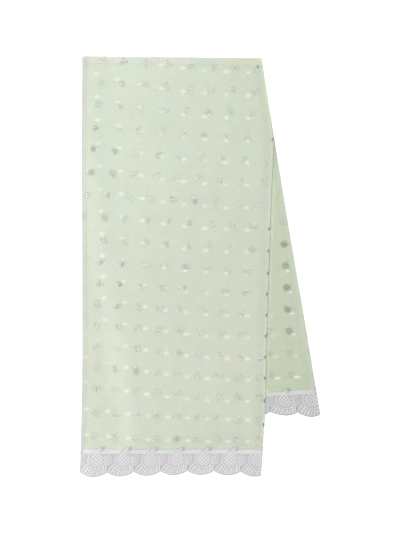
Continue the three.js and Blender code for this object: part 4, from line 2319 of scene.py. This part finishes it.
@dataclass
class FoldedSaree:
    """The whole folded saree: both flaps, their ornaments and their lace."""

    second_layer: float = 0.0007
    dots_rise: float = 0.00071
    front: Surface = Surface(Face.FRONT)
    rear: Surface = Surface(Face.REAR)
    under: Surface = Surface(Face.UNDER)

    def __post_init__(self) -> None:
        """Work out the rows that the sheets share."""
        self.rear_rows = rear_stations(104)
        self.all_rows = [*front_stations(100), *turn_stations(14), *self.rear_rows]
        self.front_paint, self.rear_paint = FrontTone().paint, RearTone().paint

    def sheets(self) -> list[bpy.types.Object]:
        """Return the two showing sheets.

        Returns:
            The outer sheet and the inner one.
        """
        over = PLAN.gap + PLAN.wall - SheetSizes.ease
        outer = RolledSheet("outer_sheet", self.all_rows, PLAN.layers + over, 1.0, self.front_paint)
        inner = RolledSheet("inner_sheet", self.rear_rows, -over, -1.0, self.rear_paint)
        made = [outer.build(), inner.build()]
        for sheet, panel in zip(made, ("outer_panel", "inner_panel")):
            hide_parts(panel)
        return made

    def under_layers(self) -> list[bpy.types.Object]:
        """Return the second layers, seen through the sheer ones.

        Returns:
            The outer layer and the inner one.
        """
        base = PLAN.layers + self.second_layer
        outer = FlatSheet("second_outer_layer", self.all_rows, base, 1.0, self.front_paint)
        inner = FlatSheet("second_inner_layer", self.rear_rows, -self.second_layer, -1.0, self.rear_paint)
        return [outer.build(), inner.build()]

    def hidden_layers(self) -> bpy.types.Object:
        """Return the stack of hidden folds in place of its plain solid.

        Returns:
            The new piece.
        """
        stack = PleatStack(self.all_rows).build()
        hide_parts("folded_layers")
        return stack

    def rounds(self) -> list[bpy.types.Object]:
        """Return the silver rounds of the front flap, the rear flap and the underside.

        Returns:
            The three pieces, in that order.
        """
        woven = WovenRounds()
        dense = WovenRounds(heart=0.0042, close_depth=0.67, close_width=2.0, bright=0.1)
        below = RearGrid(first=(0.1225, 0.2900), rows=19, columns=(-9, 3))
        return [
            woven.build("front_rounds", self.front, RoundsGrid()),
            dense.build("rear_rounds", self.rear, RearGrid()),
            woven.build("underside_rounds", self.under, below),
        ]

    def dots(self) -> list[bpy.types.Object]:
        """Return the white dots of the second layers, front and rear.

        Returns:
            The two pieces, in that order.
        """

        def over_front(x: float, y: float, rise: float) -> Point:
            """Return a point over the front's second layer."""
            held_in = max(x, self.front.edges(y)[0] + 0.0012)
            return place_front(held_in, y, PLAN.layers + self.dots_rise + rise)

        def over_rear(x: float, y: float, rise: float) -> Point:
            """Return a point over the rear flap's second layer."""
            return place_rear(x, y, -self.dots_rise - rise)

        front = [
            (x, y)
            for _, _, x, y in DotsGrid().places()
            if self.front.edges(y)[0] + 0.0015 < x < self.front.edges(y)[1] - 0.010
            and 0.010 < PLAN.top_y - y < PLAN.seam - 0.006
        ]
        grid = RearGrid(11, (0.1135, 0.150), (0.0290, 0.0312), lean=0.095, columns=(-1, 2))
        rear = [
            (x, y)
            for _, _, x, y in grid.places()
            if self.front.edges(y)[1] + 0.004 < x < self.rear.edges(y)[1] - 0.012
        ]
        dimmer = WovenDots(dim=(0.77, 0.80, 0.67), bright=(0.84, 0.865, 0.75))
        return [
            WovenDots().build("front_white_dots", over_front, front),
            dimmer.build("rear_white_dots", over_rear, rear),
        ]

    def lace(self) -> list[list[bpy.types.Object]]:
        """Return both borders, each as its net, its raised work and its hidden leaves.

        Returns:
            The pieces of the front border, then those of the rear one.
        """
        made = []
        rear_look = {"darker": 0.91, "contrast": 0.95}
        for side, height, look in (("front", PLAN.layers, {}), ("rear", PLAN.rear_top, rear_look)):
            frames = [lace_frame(side, level) for level in (height + PLAN.gap, 0.0)]
            border = LaceBorder(f"{side}_lace", frames[0], **look).build()
            leaves = HiddenBorders(f"{side}_lace_leaves", frames[1], height).build()
            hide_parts(f"{side}_border")
            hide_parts(f"{side}_border_layers")
            made.append([*border, leaves])
        return made

    def build(self) -> None:
        outer, inner = self.sheets()
        second = self.under_layers()
        stack = self.hidden_layers()
        front_rounds, rear_rounds, under_rounds = self.rounds()
        front_dots, rear_dots = self.dots()
        for net, relief, leaves in self.lace():
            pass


def main() -> None:
    """Build the studio and the saree."""
    logging.basicConfig(level=logging.INFO, format="%(name)s: %(message)s")
    Studio().build()
    FoldedSaree().build()


if __name__ == "__main__":
    main()
